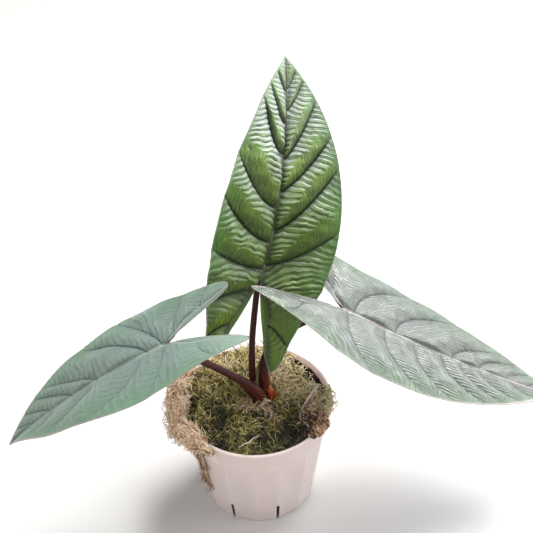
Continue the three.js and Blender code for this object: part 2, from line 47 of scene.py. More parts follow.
print("solids:", sorted(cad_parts))

# %% [markdown]
# The camera stands where the photo was taken from: in front of the plant and above it,
# looking down by forty degrees, with the picture turned by two. A camera looks along its
# own -Z, so its rotation is built from three directions: right, up and back.

# %% Place the camera
VIEW_ELEVATION = math.radians(40.38)
VIEW_ROLL = math.radians(-2.22)
VIEW_TARGET = Vector((9.18, 0.0, 172.99)) * MM
VIEW_DISTANCE = 520 * MM
PHOTO_SIDE_PIXELS = 533
FOCAL_PIXELS = 1000.74
SENSOR_WIDTH = 36
NEAREST_SEEN = 10 * MM


def place_camera():
    back = Vector((0, -math.cos(VIEW_ELEVATION), math.sin(VIEW_ELEVATION)))
    level_right = Vector((1, 0, 0))
    level_up = back.cross(level_right)
    right = level_right * math.cos(VIEW_ROLL) + level_up * math.sin(VIEW_ROLL)
    up = back.cross(right)
    data = bpy.data.cameras.new("photo_camera")
    data.sensor_width = SENSOR_WIDTH
    data.lens = FOCAL_PIXELS * SENSOR_WIDTH / PHOTO_SIDE_PIXELS
    data.clip_start = NEAREST_SEEN
    camera = bpy.data.objects.new("photo_camera", data)
    rotation = Matrix((right, up, back)).transposed().to_4x4()
    camera.matrix_world = Matrix.Translation(VIEW_TARGET + back * VIEW_DISTANCE) @ rotation
    bpy.context.scene.collection.objects.link(camera)
    bpy.context.scene.camera = camera
    return camera


camera = place_camera()
print("lens", round(camera.data.lens, 2), "mm, place", [round(v, 3) for v in camera.location])

# %% [markdown]
# A leaf and a tuft of moss are both irregular, but in a way that must come out the same on
# every run. So the irregularity is a sum of a few sine waves with seeded directions.

# %% Smooth steps and seeded waves
WAVES = 7
WAVE_HEIGHT = 0.8


def smooth(value):
    value = np.clip(value, 0, 1)
    return value * value * (3 - 2 * value)


def between(value, low, high):
    """How far value has come from low to high, eased at both ends."""
    return smooth((value - low) / (high - low))


def wavy(seed, size, *axes):
    """A smooth, irregular field from about -1 to 1 whose bumps are about size apart."""
    rng = np.random.default_rng(seed)
    total = 0
    for _ in range(WAVES):
        direction = rng.normal(size=len(axes))
        direction *= 2 * math.pi / (size * rng.uniform(0.7, 1.5) * np.linalg.norm(direction))
        angle = sum(step * axis for step, axis in zip(direction, axes))
        total = total + np.sin(angle + rng.uniform(0, 2 * math.pi))
    return total / math.sqrt(WAVES) * WAVE_HEIGHT


print("a wave:", np.round(wavy(1, 10, np.linspace(0, 20, 5)), 2))

# %% [markdown]
# Every piece below is a list of points and faces. This helper makes the Blender mesh from
# arrays, which is much faster than adding faces one by one. It also stores values on the
# points, such as how close each one is to a vein, and a material can read them.

# %% Make a mesh piece from arrays


def add_piece(name, points, quads, finish, triangles=(), stored=None, sharp_angle=None):
    quads = np.asarray(quads, dtype=np.int32).reshape(-1, 4)
    triangles = np.asarray(triangles, dtype=np.int32).reshape(-1, 3)
    mesh = bpy.data.meshes.new(name)
    mesh.vertices.add(len(points))
    mesh.vertices.foreach_set("co", (np.asarray(points) * MM).astype(np.float32).ravel())
    corners = np.concatenate([quads.ravel(), triangles.ravel()])
    mesh.loops.add(len(corners))
    mesh.loops.foreach_set("vertex_index", corners)
    sizes = np.concatenate([np.full(len(quads), 4), np.full(len(triangles), 3)])
    starts = np.concatenate([[0], np.cumsum(sizes)[:-1]])
    mesh.polygons.add(len(sizes))
    mesh.polygons.foreach_set("loop_start", starts.astype(np.int32))
    mesh.update(calc_edges=True)
    mesh.validate()
    mesh.polygons.foreach_set("use_smooth", np.ones(len(mesh.polygons), dtype=bool))
    for key, values in (stored or {}).items():
        attribute = mesh.attributes.new(key, "FLOAT", "POINT")
        attribute.data.foreach_set("value", np.asarray(values, dtype=np.float32).ravel())
    if sharp_angle is not None:
        mesh.set_sharp_from_angle(angle=math.radians(sharp_angle))
    mesh.materials.append(finish)
    piece = bpy.data.objects.new(name, mesh)
    bpy.context.scene.collection.objects.link(piece)
    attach(piece, "root")
    print(name, len(mesh.vertices), "points,", int((sizes - 2).sum()), "triangles")
    return piece


# %% [markdown]
# A wall, a stalk and a lump of moss are all rings of points. The faces between the rings are
# a grid that closes on itself, and a fan of triangles shuts each end.

# %% Faces of grids, caps and closed tubes


def grid_quads(rows, columns, first=0, closed=False):
    """Faces between neighbouring points of a grid that is stored row by row."""
    last_column = columns if closed else columns - 1
    row, column = np.meshgrid(np.arange(rows - 1), np.arange(last_column), indexing="ij")
    following = (column + 1) % columns
    a = first + row * columns + column
    b = first + row * columns + following
    return np.stack([a, b, b + columns, a + columns], axis=-1).reshape(-1, 4)


def ring_cap(first, count, middle, flip=False):
    """Triangles from a ring of points, whose numbers start at first, to one middle point."""
    around = np.arange(first, first + count)
    following = np.roll(around, -1)
    sides = (following, around) if flip else (around, following)
    return np.stack([*sides, np.full(count, middle)], axis=-1)


def closed_tube(rings, ends):
    """Points and faces of rings, given as one array, closed by a point at each end."""
    rows, count, _ = rings.shape
    points = np.concatenate([rings.reshape(-1, 3), ends])
    near_cap = ring_cap(0, count, rows * count, flip=True)
    far_cap = ring_cap((rows - 1) * count, count, rows * count + 1)
    return points, grid_quads(rows, count, closed=True), np.concatenate([near_cap, far_cap])


print("a closed cube has", len(grid_quads(2, 4, closed=True)), "sides and two caps")

# %% [markdown]
# A material is a small machine of nodes. This class lets a cell below say what it wants in a
# line or two. A plain number is set on the socket itself, and only what varies is a link.

# %% A small kit for procedural materials


class Finish:
    def __init__(self, name, **values):
        self.material = bpy.data.materials.new(name)
        self.material.use_nodes = True
        self.nodes = self.material.node_tree.nodes
        self.links = self.material.node_tree.links
        self.shader = self.nodes["Principled BSDF"]
        self.place = self.nodes.new("ShaderNodeTexCoord").outputs["Object"]
        self.set(**values)

    def put(self, socket, value):
        if isinstance(value, bpy.types.NodeSocket):
            self.links.new(value, socket)
        elif hasattr(value, "__len__") and len(value) == 3 and socket.type == "RGBA":
            socket.default_value = (*value, 1)
        else:
            socket.default_value = value

    def set(self, **values):
        for key, value in values.items():
            self.put(self.shader.inputs[key.replace("_", " ")], value)

    def stretched(self, x, y, z):
        """Draws a pattern out along an axis whose number is small."""
        node = self.nodes.new("ShaderNodeMapping")
        self.put(node.inputs["Vector"], self.place)
        node.inputs["Scale"].default_value = (x, y, z)
        return node.outputs["Vector"]

    def noise(self, size, detail=3, rough=0.55, warp=0, place=None):
        """Noise whose bumps are about size millimetres across."""
        node = self.nodes.new("ShaderNodeTexNoise")
        self.put(node.inputs["Vector"], place or self.place)
        node.inputs["Scale"].default_value = 1 / (size * MM)
        node.inputs["Detail"].default_value = detail
        node.inputs["Roughness"].default_value = rough
        node.inputs["Distortion"].default_value = warp
        return node.outputs["Fac"]

    def cells(self, size, feature="F1"):
        """The distance to the middle or the edge of cells about size millimetres across."""
        node = self.nodes.new("ShaderNodeTexVoronoi")
        node.feature = feature
        self.put(node.inputs["Vector"], self.place)
        node.inputs["Scale"].default_value = 1 / (size * MM)
        return node.outputs["Distance"]

    def stored(self, key):
        node = self.nodes.new("ShaderNodeAttribute")
        node.attribute_name = key
        return node.outputs["Fac"]

    def math(self, operation, first, second=0.5, third=0.5):
        node = self.nodes.new("ShaderNodeMath")
        node.operation = operation
        for socket, value in zip(node.inputs, (first, second, third)):
            self.put(socket, value)
        return node.outputs["Value"]

    def remap(self, value, low, high, to_low=0, to_high=1):
        """Turns the range from low to high into the range from to_low to to_high."""
        node = self.nodes.new("ShaderNodeMapRange")
        for socket, number in zip(node.inputs, (value, low, high, to_low, to_high)):
            self.put(socket, number)
        return node.outputs["Result"]

    def mix(self, share, first, second):
        """Share 0 gives the first colour and 1 the second."""
        node = self.nodes.new("ShaderNodeMix")
        node.data_type = "RGBA"
        # The node has sockets for each kind of value, and these are the ones for colours
        self.put(node.inputs[0], share)
        self.put(node.inputs[6], first)
        self.put(node.inputs[7], second)
        return node.outputs[2]

    def ramp(self, value, *stops):
        """A run of colours. Each stop has its place from 0 to 1 and its colour."""
        node = self.nodes.new("ShaderNodeValToRGB")
        elements = node.color_ramp.elements
        while len(elements) < len(stops):
            elements.new(0.5)
        for element, (place, color) in zip(elements, stops):
            element.position = place
            element.color = (*color, 1)
        self.put(node.inputs["Fac"], value)
        return node.outputs["Color"]

    def bump(self, height, depth, strength=1, under=None):
        """Small relief, depth millimetres from the lowest to the highest value of height."""
        node = self.nodes.new("ShaderNodeBump")
        node.inputs["Strength"].default_value = strength
        node.inputs["Distance"].default_value = depth * MM
        self.put(node.inputs["Height"], height)
        if under is not None:
            self.put(node.inputs["Normal"], under)
        self.put(self.shader.inputs["Normal"], node.outputs["Normal"])
        return node.outputs["Normal"]


print("finish steps:", [step for step in vars(Finish) if not step.startswith("_")])

# %% [markdown]
# The floor is plain and pale, so that nothing competes with the leaves. It is for the picture
# only and no part of the plant.

# %% The floor
FLOOR_HALF_SIDE = 3.0
FLOOR_GREY = (0.60, 0.60, 0.597)
FLOOR_PALE = (0.64, 0.64, 0.637)


def make_floor():
    finish = Finish("pale_floor", Roughness=0.7)
    finish.set(Base_Color=finish.mix(finish.noise(300, detail=2), FLOOR_GREY, FLOOR_PALE))
    finish.bump(finish.noise(4), 0.02, 0.3)
    side = FLOOR_HALF_SIDE
    mesh = bpy.data.meshes.new("floor")
    corners = [(-side, -side, 0), (side, -side, 0), (side, side, 0), (-side, side, 0)]
    mesh.from_pydata(corners, [], [(0, 1, 2, 3)])
    mesh.materials.append(finish.material)
    floor = bpy.data.objects.new("floor", mesh)
    bpy.context.scene.collection.objects.link(floor)
    print("floor:", 2 * side, "m across")


make_floor()

# %% [markdown]
# Light in a studio comes from large soft sources. The roof light and the back window stand
# behind the plant, as the daylight in the photo did, and graze the leaves so that the quilting
# shows. The right window gives the right leaf its sheen, and two weak fills keep the stems and
# the moss from going black.

# %% Lights
PLANT_MIDDLE = (0.01, 0.0, 0.13)
# Each soft box has its place, its width and height in metres, its watts and its colour
SOFT_BOXES = {
    "roof_light": ((0.42, 0.50, 1.40), (0.7, 0.6), 30, (1.0, 0.99, 0.96)),
    "window_back": ((0.80, 0.75, 0.75), (0.9, 0.9), 13, (0.96, 0.98, 1.0)),
    "window_right": ((1.1, -0.1, 0.5), (0.6, 0.6), 5.6, (1.0, 0.98, 0.96)),
    "left_fill": ((-0.9, -0.5, 0.75), (0.8, 0.8), 5.2, (1.0, 0.97, 0.95)),
    "front_fill": ((0.2, -1.1, 0.75), (0.8, 0.8), 3.0, (1.0, 0.96, 0.94)),
}
ROOM_WHITE = (1.0, 1.0, 1.0)
ROOM_STRENGTH = 0.20


def soft_box(name, place, size, watts, color):
    data = bpy.data.lights.new(name, "AREA")
    data.shape = "RECTANGLE"
    data.size, data.size_y = size
    data.energy = watts
    data.color = color
    light = bpy.data.objects.new(name, data)
    light.location = place
    aim = Vector(PLANT_MIDDLE) - Vector(place)
    light.rotation_euler = aim.to_track_quat("-Z", "Y").to_euler()
    bpy.context.scene.collection.objects.link(light)


def fill_world(color, strength):
    world = bpy.data.worlds.new("soft_room")
    world.use_nodes = True
    background = world.node_tree.nodes["Background"]
    background.inputs["Color"].default_value = (*color, 1)
    background.inputs["Strength"].default_value = strength
    bpy.context.scene.world = world


for light_name, (place, size, watts, color) in SOFT_BOXES.items():
    soft_box(light_name, place, size, watts, color)
fill_world(ROOM_WHITE, ROOM_STRENGTH)
bpy.context.scene.view_settings.view_transform = "Standard"
print("lights:", list(SOFT_BOXES))

# %% [markdown]
# The pot is a moulded nursery pot. A round collar with a beaded rim stands out from a
# faceted wall, whose facets alternate between a wide one and a narrow one, and a drainage
# slot opens at every second corner of the foot. The wall is made as two sheets of points,
# one outside and one inside, whose columns stand at the same bearings.

# %% The pot's outline
POT_HEIGHT = 73
FOOT_RADIUS = 34.4
RIM_RADIUS = 44
COLLAR_BOTTOM = 57.3
SLOTS = 8
FACET_PAIR = 360 / SLOTS
FIRST_SLOT = 17.1
WIDE_FACET = 24.5
SLOT_HALF_WIDTH = 0.95
SLOT_END_RADIUS = 30.4
CORNER_SHARPNESS = 9.0
# A facet counts up to this angle from its middle, in radians, and is out of reach past it
FACET_REACH = 1.2
OUT_OF_REACH = 1000.0


def facet_radius(bearings, z):
    """The faceted wall: the nearest of the flat sides, with its corners a little rounded."""
    corner = FOOT_RADIUS + (RIM_RADIUS - FOOT_RADIUS) * z / POT_HEIGHT
    reaches = []
    for slot in range(SLOTS):
        start = FIRST_SLOT + slot * FACET_PAIR
        for low, high in ((start, start + WIDE_FACET), (start + WIDE_FACET, start + FACET_PAIR)):
            half = math.radians(high - low) / 2
            off = np.radians((bearings - (low + high) / 2 + 180) % 360 - 180)
            flat = corner * math.cos(half) / np.cos(np.clip(off, -FACET_REACH, FACET_REACH))
            reaches.append(np.where(np.abs(off) < FACET_REACH, flat, OUT_OF_REACH))
    reaches = np.array(reaches)
    least = reaches.min(axis=0)
    nearness = np.exp(-CORNER_SHARPNESS * (reaches - least))
    return least - np.log(nearness.sum(axis=0)) / CORNER_SHARPNESS


def wall_bearings():
    slot_half = math.degrees(SLOT_HALF_WIDTH / FOOT_RADIUS)
    at_slot = [-3.2, -slot_half, -0.7, 0, 0.7, slot_half, 3.2]
    on_facets = [6, 9, 12, 15, 18, 21, 23.2, 23.9, 24.5, 25.1, 25.8, 28, 31, 34, 37, 39.5]
    starts = [FIRST_SLOT + slot * FACET_PAIR for slot in range(SLOTS)]
    return np.sort([(start + step) % 360 for start in starts for step in at_slot + on_facets])


def at_bearing(bearing, radius, z):
    """Points at a bearing in degrees, counted from the front toward the right."""
    angle = np.radians(bearing)
    return np.stack(np.broadcast_arrays(radius * np.sin(angle), -radius * np.cos(angle), z), axis=-1)


bearings = wall_bearings()
print("pot:", len(bearings), "bearings, from", round(bearings[0], 1), "to", round(bearings[-1], 1))

# %% [markdown]
# Each sheet of the wall is a stack of rings. They lie close together where the outline turns,
# at the bead, the collar's edge and the foot, and far apart where it is straight.

# %% The rings of the pot's wall
# Rows as (height, radius, roundness). Roundness 0 follows the facets and 1 is a full round.
RIM_ROWS = [(72.75, 42.45, 1), (72.95, 42.7, 1), (73.0, 43.05, 1), (72.98, 43.45, 1), (72.85, 43.78, 1),
            (72.55, 44.0, 1), (72.15, 44.05, 1), (71.8, 43.97, 1), (71.55, 43.78, 1), (71.4, 43.62, 1),
            (71.1, 43.55, 1)]
COLLAR_ROWS = [(68, 43.3, 1), (65, 43.05, 1), (62, 42.82, 1), (59.5, 42.62, 1), (58, 42.5, 1),
               (57.6, 42.44, 1), (57.38, 42.3, 1), (57.28, 42.1, 0.75), (57.22, 41.9, 0.3),
               (57.1, None, 0), (56.8, None, 0)]
WALL_HEIGHTS = [54, 50, 45, 40, 35, 30, 25, 20, 17, 15.6]
SLOT_HEIGHTS = [15, 14.7, 12, 9, 6, 4, 2.4, 1.2]
# The rounded edge of the foot, as (how far it is drawn in, height)
FOOT_EDGE = [(0.02, 0.5), (0.18, 0.14), (0.5, 0)]
# The inside as (height, radius), its rows, and its rounded corner as (radius, height)
INSIDE = [(2, 32.3), (57.3, 39.3), (73, 42.4)]
INSIDE_HEIGHTS = [72.4, 70, 66, 62, 57.3, 50, 42, 34, 26, 20, 17, 15.6]
INSIDE_SLOT_HEIGHTS = [15, 14.7, 12, 9, 6.5, 5, 3.8, 3.0]
INSIDE_CORNER = [(32.0, 2.4), (31.6, 2.12), (31.0, 2)]
FLOOR_TOP = 2
FLOOR_RADII = [SLOT_END_RADIUS, 24, 14, 5]


def inside_radius(z):
    heights, radii = zip(*INSIDE)
    return np.interp(z, heights, radii)


def pot_rows():
    outer = []
    for z, radius, roundness in RIM_ROWS + COLLAR_ROWS:
        faceted = facet_radius(bearings, z)
        full = faceted if radius is None else radius
        outer.append(at_bearing(bearings, faceted * (1 - roundness) + full * roundness, z))
    outer += [at_bearing(bearings, facet_radius(bearings, z), z) for z in WALL_HEIGHTS + SLOT_HEIGHTS]
    foot = facet_radius(bearings, 0)
    outer += [at_bearing(bearings, foot - drawn_in, z) for drawn_in, z in FOOT_EDGE]
    inner = [at_bearing(bearings, inside_radius(z), z) for z in INSIDE_HEIGHTS + INSIDE_SLOT_HEIGHTS]
    inner += [at_bearing(bearings, radius, z) for radius, z in INSIDE_CORNER]
    outer += [at_bearing(bearings, radius, 0) for radius in FLOOR_RADII]
    inner += [at_bearing(bearings, radius, FLOOR_TOP) for radius in FLOOR_RADII]
    return outer, inner


outer_rings, inner_rings = pot_rows()
print("rings outside and inside:", len(outer_rings), len(inner_rings))

# %% [markdown]
# A slot needs no boolean. The faces inside it are left out of both sheets, and a band of new
# faces joins the edges all round, which keeps the wall closed and its faces clean.

# %% Cut the slots
FIRST_SLOT_ROW = len(RIM_ROWS) + len(COLLAR_ROWS) + len(WALL_HEIGHTS)
INSIDE_SLOT_ROW = len(INSIDE_HEIGHTS)
SLOT_ROWS = len(SLOT_HEIGHTS) + len(FOOT_EDGE)
BEARING_MARGIN = 0.01


def slot_columns():
    """True for each column of faces that lies in a slot."""
    from_slot = np.abs((bearings - FIRST_SLOT + FACET_PAIR / 2) % FACET_PAIR - FACET_PAIR / 2)
    beside = from_slot <= math.degrees(SLOT_HALF_WIDTH / FOOT_RADIUS) + BEARING_MARGIN
    return beside & np.roll(beside, -1)


def slotted_sheet(first, rows, slot_row, in_slot):
    count = len(bearings)
    quads = grid_quads(rows, count, first, closed=True).reshape(rows - 1, count, 4)
    kept = np.ones((rows - 1, count), dtype=bool)
    kept[slot_row:slot_row + SLOT_ROWS, in_slot] = False
    return quads[kept]


def slot_sides(in_slot, inner_first):
    """Faces round each slot, from the outer sheet to the inner one."""
    count = len(bearings)

    def pair(row, column):
        outer_point = (FIRST_SLOT_ROW + row) * count + column
        inner_point = inner_first + (INSIDE_SLOT_ROW + row) * count + column
        return outer_point, inner_point

    faces = []
    for column in np.flatnonzero(in_slot):
        after = (column + 1) % count
        for row, turned in ((0, False), (SLOT_ROWS, True)):
            (a, inner_a), (b, inner_b) = pair(row, column), pair(row, after)
            quad = [a, b, inner_b, inner_a]
            faces.append(quad[::-1] if turned else quad)
        for row in range(SLOT_ROWS):
            if not in_slot[column - 1]:
                (a, inner_a), (b, inner_b) = pair(row, column), pair(row + 1, column)
                faces.append([a, inner_a, inner_b, b])
            if not in_slot[after]:
                (a, inner_a), (b, inner_b) = pair(row, after), pair(row + 1, after)
                faces.append([a, b, inner_b, inner_a])
    return np.array(faces)


def pot_mesh():
    count = len(bearings)
    inner_first = len(outer_rings) * count
    in_slot = slot_columns()
    rim = grid_quads(2, count, closed=True)
    rim[:, 2:] += inner_first - count
    quads = [slotted_sheet(0, len(outer_rings), FIRST_SLOT_ROW, in_slot),
             slotted_sheet(inner_first, len(inner_rings), INSIDE_SLOT_ROW, in_slot)[:, ::-1],
             rim[:, ::-1],
             slot_sides(in_slot, inner_first)]
    points = np.concatenate(outer_rings + inner_rings + [[(0, 0, 0), (0, 0, FLOOR_TOP)]])
    under = ring_cap(inner_first - count, count, len(points) - 2)
    over = ring_cap(len(points) - 2 - count, count, len(points) - 1, flip=True)
    return points, np.concatenate(quads), np.concatenate([under, over])


pot_points, pot_quads, pot_caps = pot_mesh()
print("pot:", len(pot_quads), "faces, and", int(slot_columns().sum()), "columns of them with a slot")

# %% [markdown]
# White polypropylene is slightly translucent and satin, its white tinted pink as painted warm
# reflected light, and a nursery pot has been handled: faint grey smears, a few specks of moss
# dust near the rim, and very fine flow marks that run down the wall from the moulding. Inside,
# below the moss, the wall is painted dark as shade in the crevice beside the moss.

# %% The pot's finish
# White plastic, whose pink tint is painted warm reflected light
PINK_TINTED_PLASTIC = ((0.73, 0.57, 0.54), (0.80, 0.665, 0.64))
FLOW_MARK = (0.74, 0.66, 0.65)
SMEAR = (0.66, 0.60, 0.56)
MOSS_DUST = (0.33, 0.25, 0.16)
CREVICE_SHADE_COLOR = (0.030, 0.020, 0.012)
# Painted crevice shade: the wall inside is clean above the first of these heights, and painted dark below
# the second
CREVICE_SHADE_HEIGHTS = (71, 66)


def pot_finish():
    finish = Finish("white_pot_plastic", Roughness=0.42, Subsurface_Weight=0.8, Subsurface_Scale=0.006)
    finish.shader.inputs["Subsurface Radius"].default_value = (1.0, 0.92, 0.88)
    clean = finish.mix(finish.noise(26, detail=3), *PINK_TINTED_PLASTIC)
    flow = finish.noise(1.1, detail=2, place=finish.stretched(1, 1, 0.05))
    clean = finish.mix(finish.remap(flow, 0.3, 0.8, 0, 0.25), clean, FLOW_MARK)
    smeared = finish.remap(finish.noise(9, detail=5, rough=0.7), 0.56, 0.75, 0, 0.35)
    dusty = finish.remap(finish.noise(1.4, detail=2), 0.71, 0.76, 0, 0.7)
    color = finish.mix(dusty, finish.mix(smeared, clean, SMEAR), MOSS_DUST)
    # Painted shade: inside, below the moss, the wall is mixed toward near-black brown where shade falls in
    # the crevice
    shade_edge_noise = finish.remap(finish.noise(2.5, detail=4, rough=0.7), 0.3, 0.7, 0.4, 1.6)
    stain = finish.remap(finish.math("MULTIPLY", finish.stored("stain"), shade_edge_noise), 0.15, 0.5, 0, 0.95)
    finish.set(Base_Color=finish.mix(stain, color, CREVICE_SHADE_COLOR))
    finish.set(Roughness=finish.remap(finish.noise(7, detail=4), 0.3, 0.7, 0.34, 0.52))
    fine = finish.bump(finish.noise(0.5, detail=2), 0.012, 0.5)
    finish.bump(flow, 0.05, 0.35, under=fine)
    return finish.material


def wall_stain(points):
    """0 on clean plastic, 1 inside the wall below the moss, where shade in the crevice is painted dark."""
    inside = np.hypot(points[:, 0], points[:, 1]) < inside_radius(points[:, 2]) + 0.3
    return inside * between(points[:, 2], *CREVICE_SHADE_HEIGHTS)


pot = add_piece("nursery_pot", pot_points, pot_quads, pot_finish(),
                triangles=pot_caps, stored=dict(stain=wall_stain(pot_points)), sharp_angle=10)
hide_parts("pot")

# %% [markdown]
# The substrate and the rhizome are hidden under the moss, and only a little dark bark shows
# in the drainage slots, darkened further as painted shade. Their CAD solids stay, and each
# gets a rough earthy material.

# %% Bark and rhizome


def bark_finish():
    finish = Finish("potting_bark", Roughness=0.9)
    chips = finish.cells(3.2)
    grain = finish.noise(0.8, detail=5, rough=0.7)
    # Painted shade: the bark's browns are darkened toward black for the shade inside the pot
    color = finish.ramp(chips, (0.15, (0.055, 0.03, 0.017)), (0.5, (0.022, 0.013, 0.008)),
                        (0.9, (0.006, 0.004, 0.003)))
    finish.set(Base_Color=finish.mix(finish.remap(grain, 0.45, 0.75), color, (0.08, 0.05, 0.03)))
    under = finish.bump(finish.math("SUBTRACT", 1, chips), 1.2, 0.9)
    finish.bump(grain, 0.3, 0.6, under=under)
    return finish.material


def rhizome_finish():
    finish = Finish("rhizome_skin", Roughness=0.8)
    rings = finish.noise(2.5, detail=3, place=finish.stretched(0.3, 0.3, 1))
    finish.set(Base_Color=finish.mix(rings, (0.05, 0.025, 0.014), (0.16, 0.09, 0.05)))
    finish.bump(rings, 0.5, 0.8)
    return finish.material


for node, material in (("substrate", bark_finish()), ("rhizome", rhizome_finish())):
    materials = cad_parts[node].data.materials
    materials.clear()
    materials.append(material)
    print(node, "gets", material.name)

# %% [markdown]
# A leaf starts as a flat outline. Along the midrib it runs from the sinus, where the stem
# meets it, to the tip, and behind the sinus two back lobes reach out. These are the same
# shares and angles as in the CAD solids, so the dressed leaf lies exactly on its solid.

# %% The flat outline of a leaf
WIDEST = 0.17
SINUS_WIDTH = 0.95
LOBE_MIDDLE = SINUS_WIDTH / 2
LOBE_DRIFT = 0.075
LOBE_TAPER = 0.75
LOBE_ROUND = 0.65
LOBE_RIB_PLACE = 0.17
# heading, rise and roll say which way the blade leaves its sinus, bend how far the tip droops
# and curve how far it swings aside. Each half has its own lobe, fold and arch.
LEAF_SHAPES = {
    "centre": dict(
        sinus=(5.8, 17.8, 149.7), heading=54.8, rise=58.6, roll=57.7,
        length=124.9, half_width=37.5, taper=2.07, bend=34.4, curve=-1.8,
        right=dict(side=1, lobe=51.5, spread=0.02, lift=22.2, fold=22.4, fold_gain=8.1, arch=9.7,
                   lobe_flat=9.1),
        left=dict(side=-1, lobe=47.2, spread=0.03, lift=-6.5, fold=13.6, fold_gain=6.3, arch=11.3,
                  lobe_flat=11.5),
    ),
    "left": dict(
        sinus=(-44.3, -29.9, 148.9), heading=188.7, rise=-23.2, roll=0.3,
        length=110.4, half_width=30.8, taper=1.84, bend=22.2, curve=3.5,
        right=dict(side=1, lobe=41.3, spread=0.11, lift=-0.7, fold=19.3, fold_gain=2.4, arch=34.7,
                   lobe_flat=-11.4),
        left=dict(side=-1, lobe=42.8, spread=0.08, lift=-23.6, fold=10.2, fold_gain=6, arch=20.5,
                  lobe_flat=-7.5),
    ),
    "right": dict(
        sinus=(51.5, 14.5, 127.7), heading=-13.6, rise=-27.8, roll=-1.6,
        length=135.2, half_width=37.4, taper=2.15, bend=-8, curve=-6.5,
        right=dict(side=1, lobe=52.8, spread=0.07, lift=-17, fold=9.4, fold_gain=-13.6, arch=13.3,
                   lobe_flat=-13.8),
        left=dict(side=-1, lobe=45.8, spread=0.16, lift=21.5, fold=14.8, fold_gain=-13.1, arch=25.3,
                  lobe_flat=-12.7),
    ),
}


def blade_half_width(leaf, along):
    narrowing = np.maximum(along - WIDEST, 0) / (1 - WIDEST)
    shoulder = SINUS_WIDTH + (1 - SINUS_WIDTH) * smooth(along / WIDEST)
    return leaf["half_width"] * shoulder * (1 - narrowing ** leaf["taper"])


def lobe_edges(leaf, half, share):
    """How far from the leaf's middle line a back lobe's inner and outer edge lie."""
    spread = half["spread"] * share * half["lobe"]
    middle = leaf["half_width"] * (LOBE_MIDDLE - LOBE_DRIFT * share) + spread
    left_over = np.maximum(1 - share, 0)
    round_end = (1 - LOBE_ROUND) ** (LOBE_TAPER - 0.5) * np.sqrt(left_over)
    narrowing = np.where(share > LOBE_ROUND, round_end, left_over ** LOBE_TAPER)
    reach = leaf["half_width"] * LOBE_MIDDLE * narrowing
    return middle - reach, middle + reach


print("widest half:", {name: float(blade_half_width(leaf, WIDEST)) for name, leaf in LEAF_SHAPES.items()})

# %% [markdown]
# The flat outline is then bent into place: the tip droops, the lobes lift or drop, each half
# folds up from the midrib and arches down again toward its margin.

# %% Bend the flat leaf into space


def leaf_axes(leaf):
    """Directions at the sinus: toward the tip, to the leaf's right and out of its upper face."""
    heading, rise, roll = (math.radians(leaf[key]) for key in ("heading", "rise", "roll"))
    level = math.cos(rise)
    forward = Vector((level * math.cos(heading), level * math.sin(heading), math.sin(rise)))
    right = Matrix.Rotation(roll, 3, forward) @ Vector((math.sin(heading), -math.cos(heading), 0))
    up = right.cross(forward)
    return np.array(forward), np.array(right), np.array(up)


def bent(leaf, half, x, y):
    """Places flat points x across and y along the leaf. Returns points and the way up there."""
    forward, right, up = leaf_axes(leaf)
    x, y = np.broadcast_arrays(np.asarray(x, float), np.asarray(y, float))
    toward_tip = y >= 0
    rate = np.where(toward_tip, -math.radians(leaf["bend"]) / leaf["length"],
                    math.radians(half["lift"]) / half["lobe"])
    run = np.abs(y)
    turn = rate * run
    reach = run * np.sinc(turn / np.pi)
    climb = run * np.sin(turn / 2) * np.sinc(turn / 2 / np.pi)
    outward = np.where(toward_tip[..., None], forward, -forward)
    normal = up * np.cos(turn)[..., None] - outward * np.sin(turn)[..., None]
    along = np.maximum(y, 0) / leaf["length"]
    behind = np.maximum(-y, 0) / half["lobe"]
    tilt = np.radians(half["fold"] + half["fold_gain"] * along - half["lobe_flat"] * behind)
    arch = math.radians(half["arch"]) / leaf["half_width"]
    lean = tilt - arch * x
    over = (np.sin(tilt) - np.sin(lean)) / arch
    lifted = (np.cos(lean) - np.cos(tilt)) / arch
    sideways = leaf["curve"] * along ** 2 + half["side"] * over
    points = (np.array(leaf["sinus"]) + outward * reach[..., None] + up * climb[..., None]
              + right * sideways[..., None] + normal * lifted[..., None])
    lean = np.where(x == 0, 0, lean)
    facing = normal * np.cos(lean)[..., None] - right * (half["side"] * np.sin(lean))[..., None]
    return points, facing


for leaf_name, leaf in LEAF_SHAPES.items():
    tip, _ = bent(leaf, leaf["right"], 0, leaf["length"])
    print("tip of the", leaf_name, "leaf, mm:", np.round(tip, 1))

# %% [markdown]
# What makes this plant special is its quilting. Side veins are sunk into the blade, and the
# blade puffs up between them. In each puff the fine veins meet along a crown: above it they
# run out from the midrib, and below it they run down to the next side vein. Each half of
# each leaf lists its own side veins, as the shares of the leaf's length where a vein leaves
# the midrib and where it reaches the margin. The back lobes have theirs as shares of the lobe.

# %% The side veins of each leaf
LEAF_VEINS = {
    "centre": dict(
        right=[(0.06, 0.26), (0.215, 0.52), (0.39, 0.65), (0.53, 0.80), (0.745, 0.89), (0.84, 0.94)],
        left=[(0.039, 0.104), (0.164, 0.33), (0.317, 0.515), (0.553, 0.777), (0.69, 0.85), (0.83, 0.92)],
        right_lobe=[(0.50, 0.72)],
        left_lobe=[(0.16, 0.38), (0.62, 0.80)],
    ),
    "left": dict(
        right=[(0.015, 0.24), (0.095, 0.46), (0.385, 0.72), (0.54, 0.78), (0.68, 0.86), (0.80, 0.93)],
        left=[(0.015, 0.139), (0.136, 0.452), (0.418, 0.719), (0.66, 0.86)],
        right_lobe=[(0.12, 0.38), (0.55, 0.74)],
        left_lobe=[(0.40, 0.60)],
    ),
    "right": dict(
        right=[(0.022, 0.18), (0.195, 0.42), (0.34, 0.545), (0.465, 0.685), (0.556, 0.765),
               (0.65, 0.84), (0.79, 0.92)],
        left=[(0.05, 0.30), (0.247, 0.532), (0.52, 0.756), (0.645, 0.827), (0.77, 0.89), (0.87, 0.95)],
        right_lobe=[(0.45, 0.65)],
        left_lobe=[(0.22, 0.45), (0.60, 0.80)],
    ),
}
PAST_LOBE = 1.02


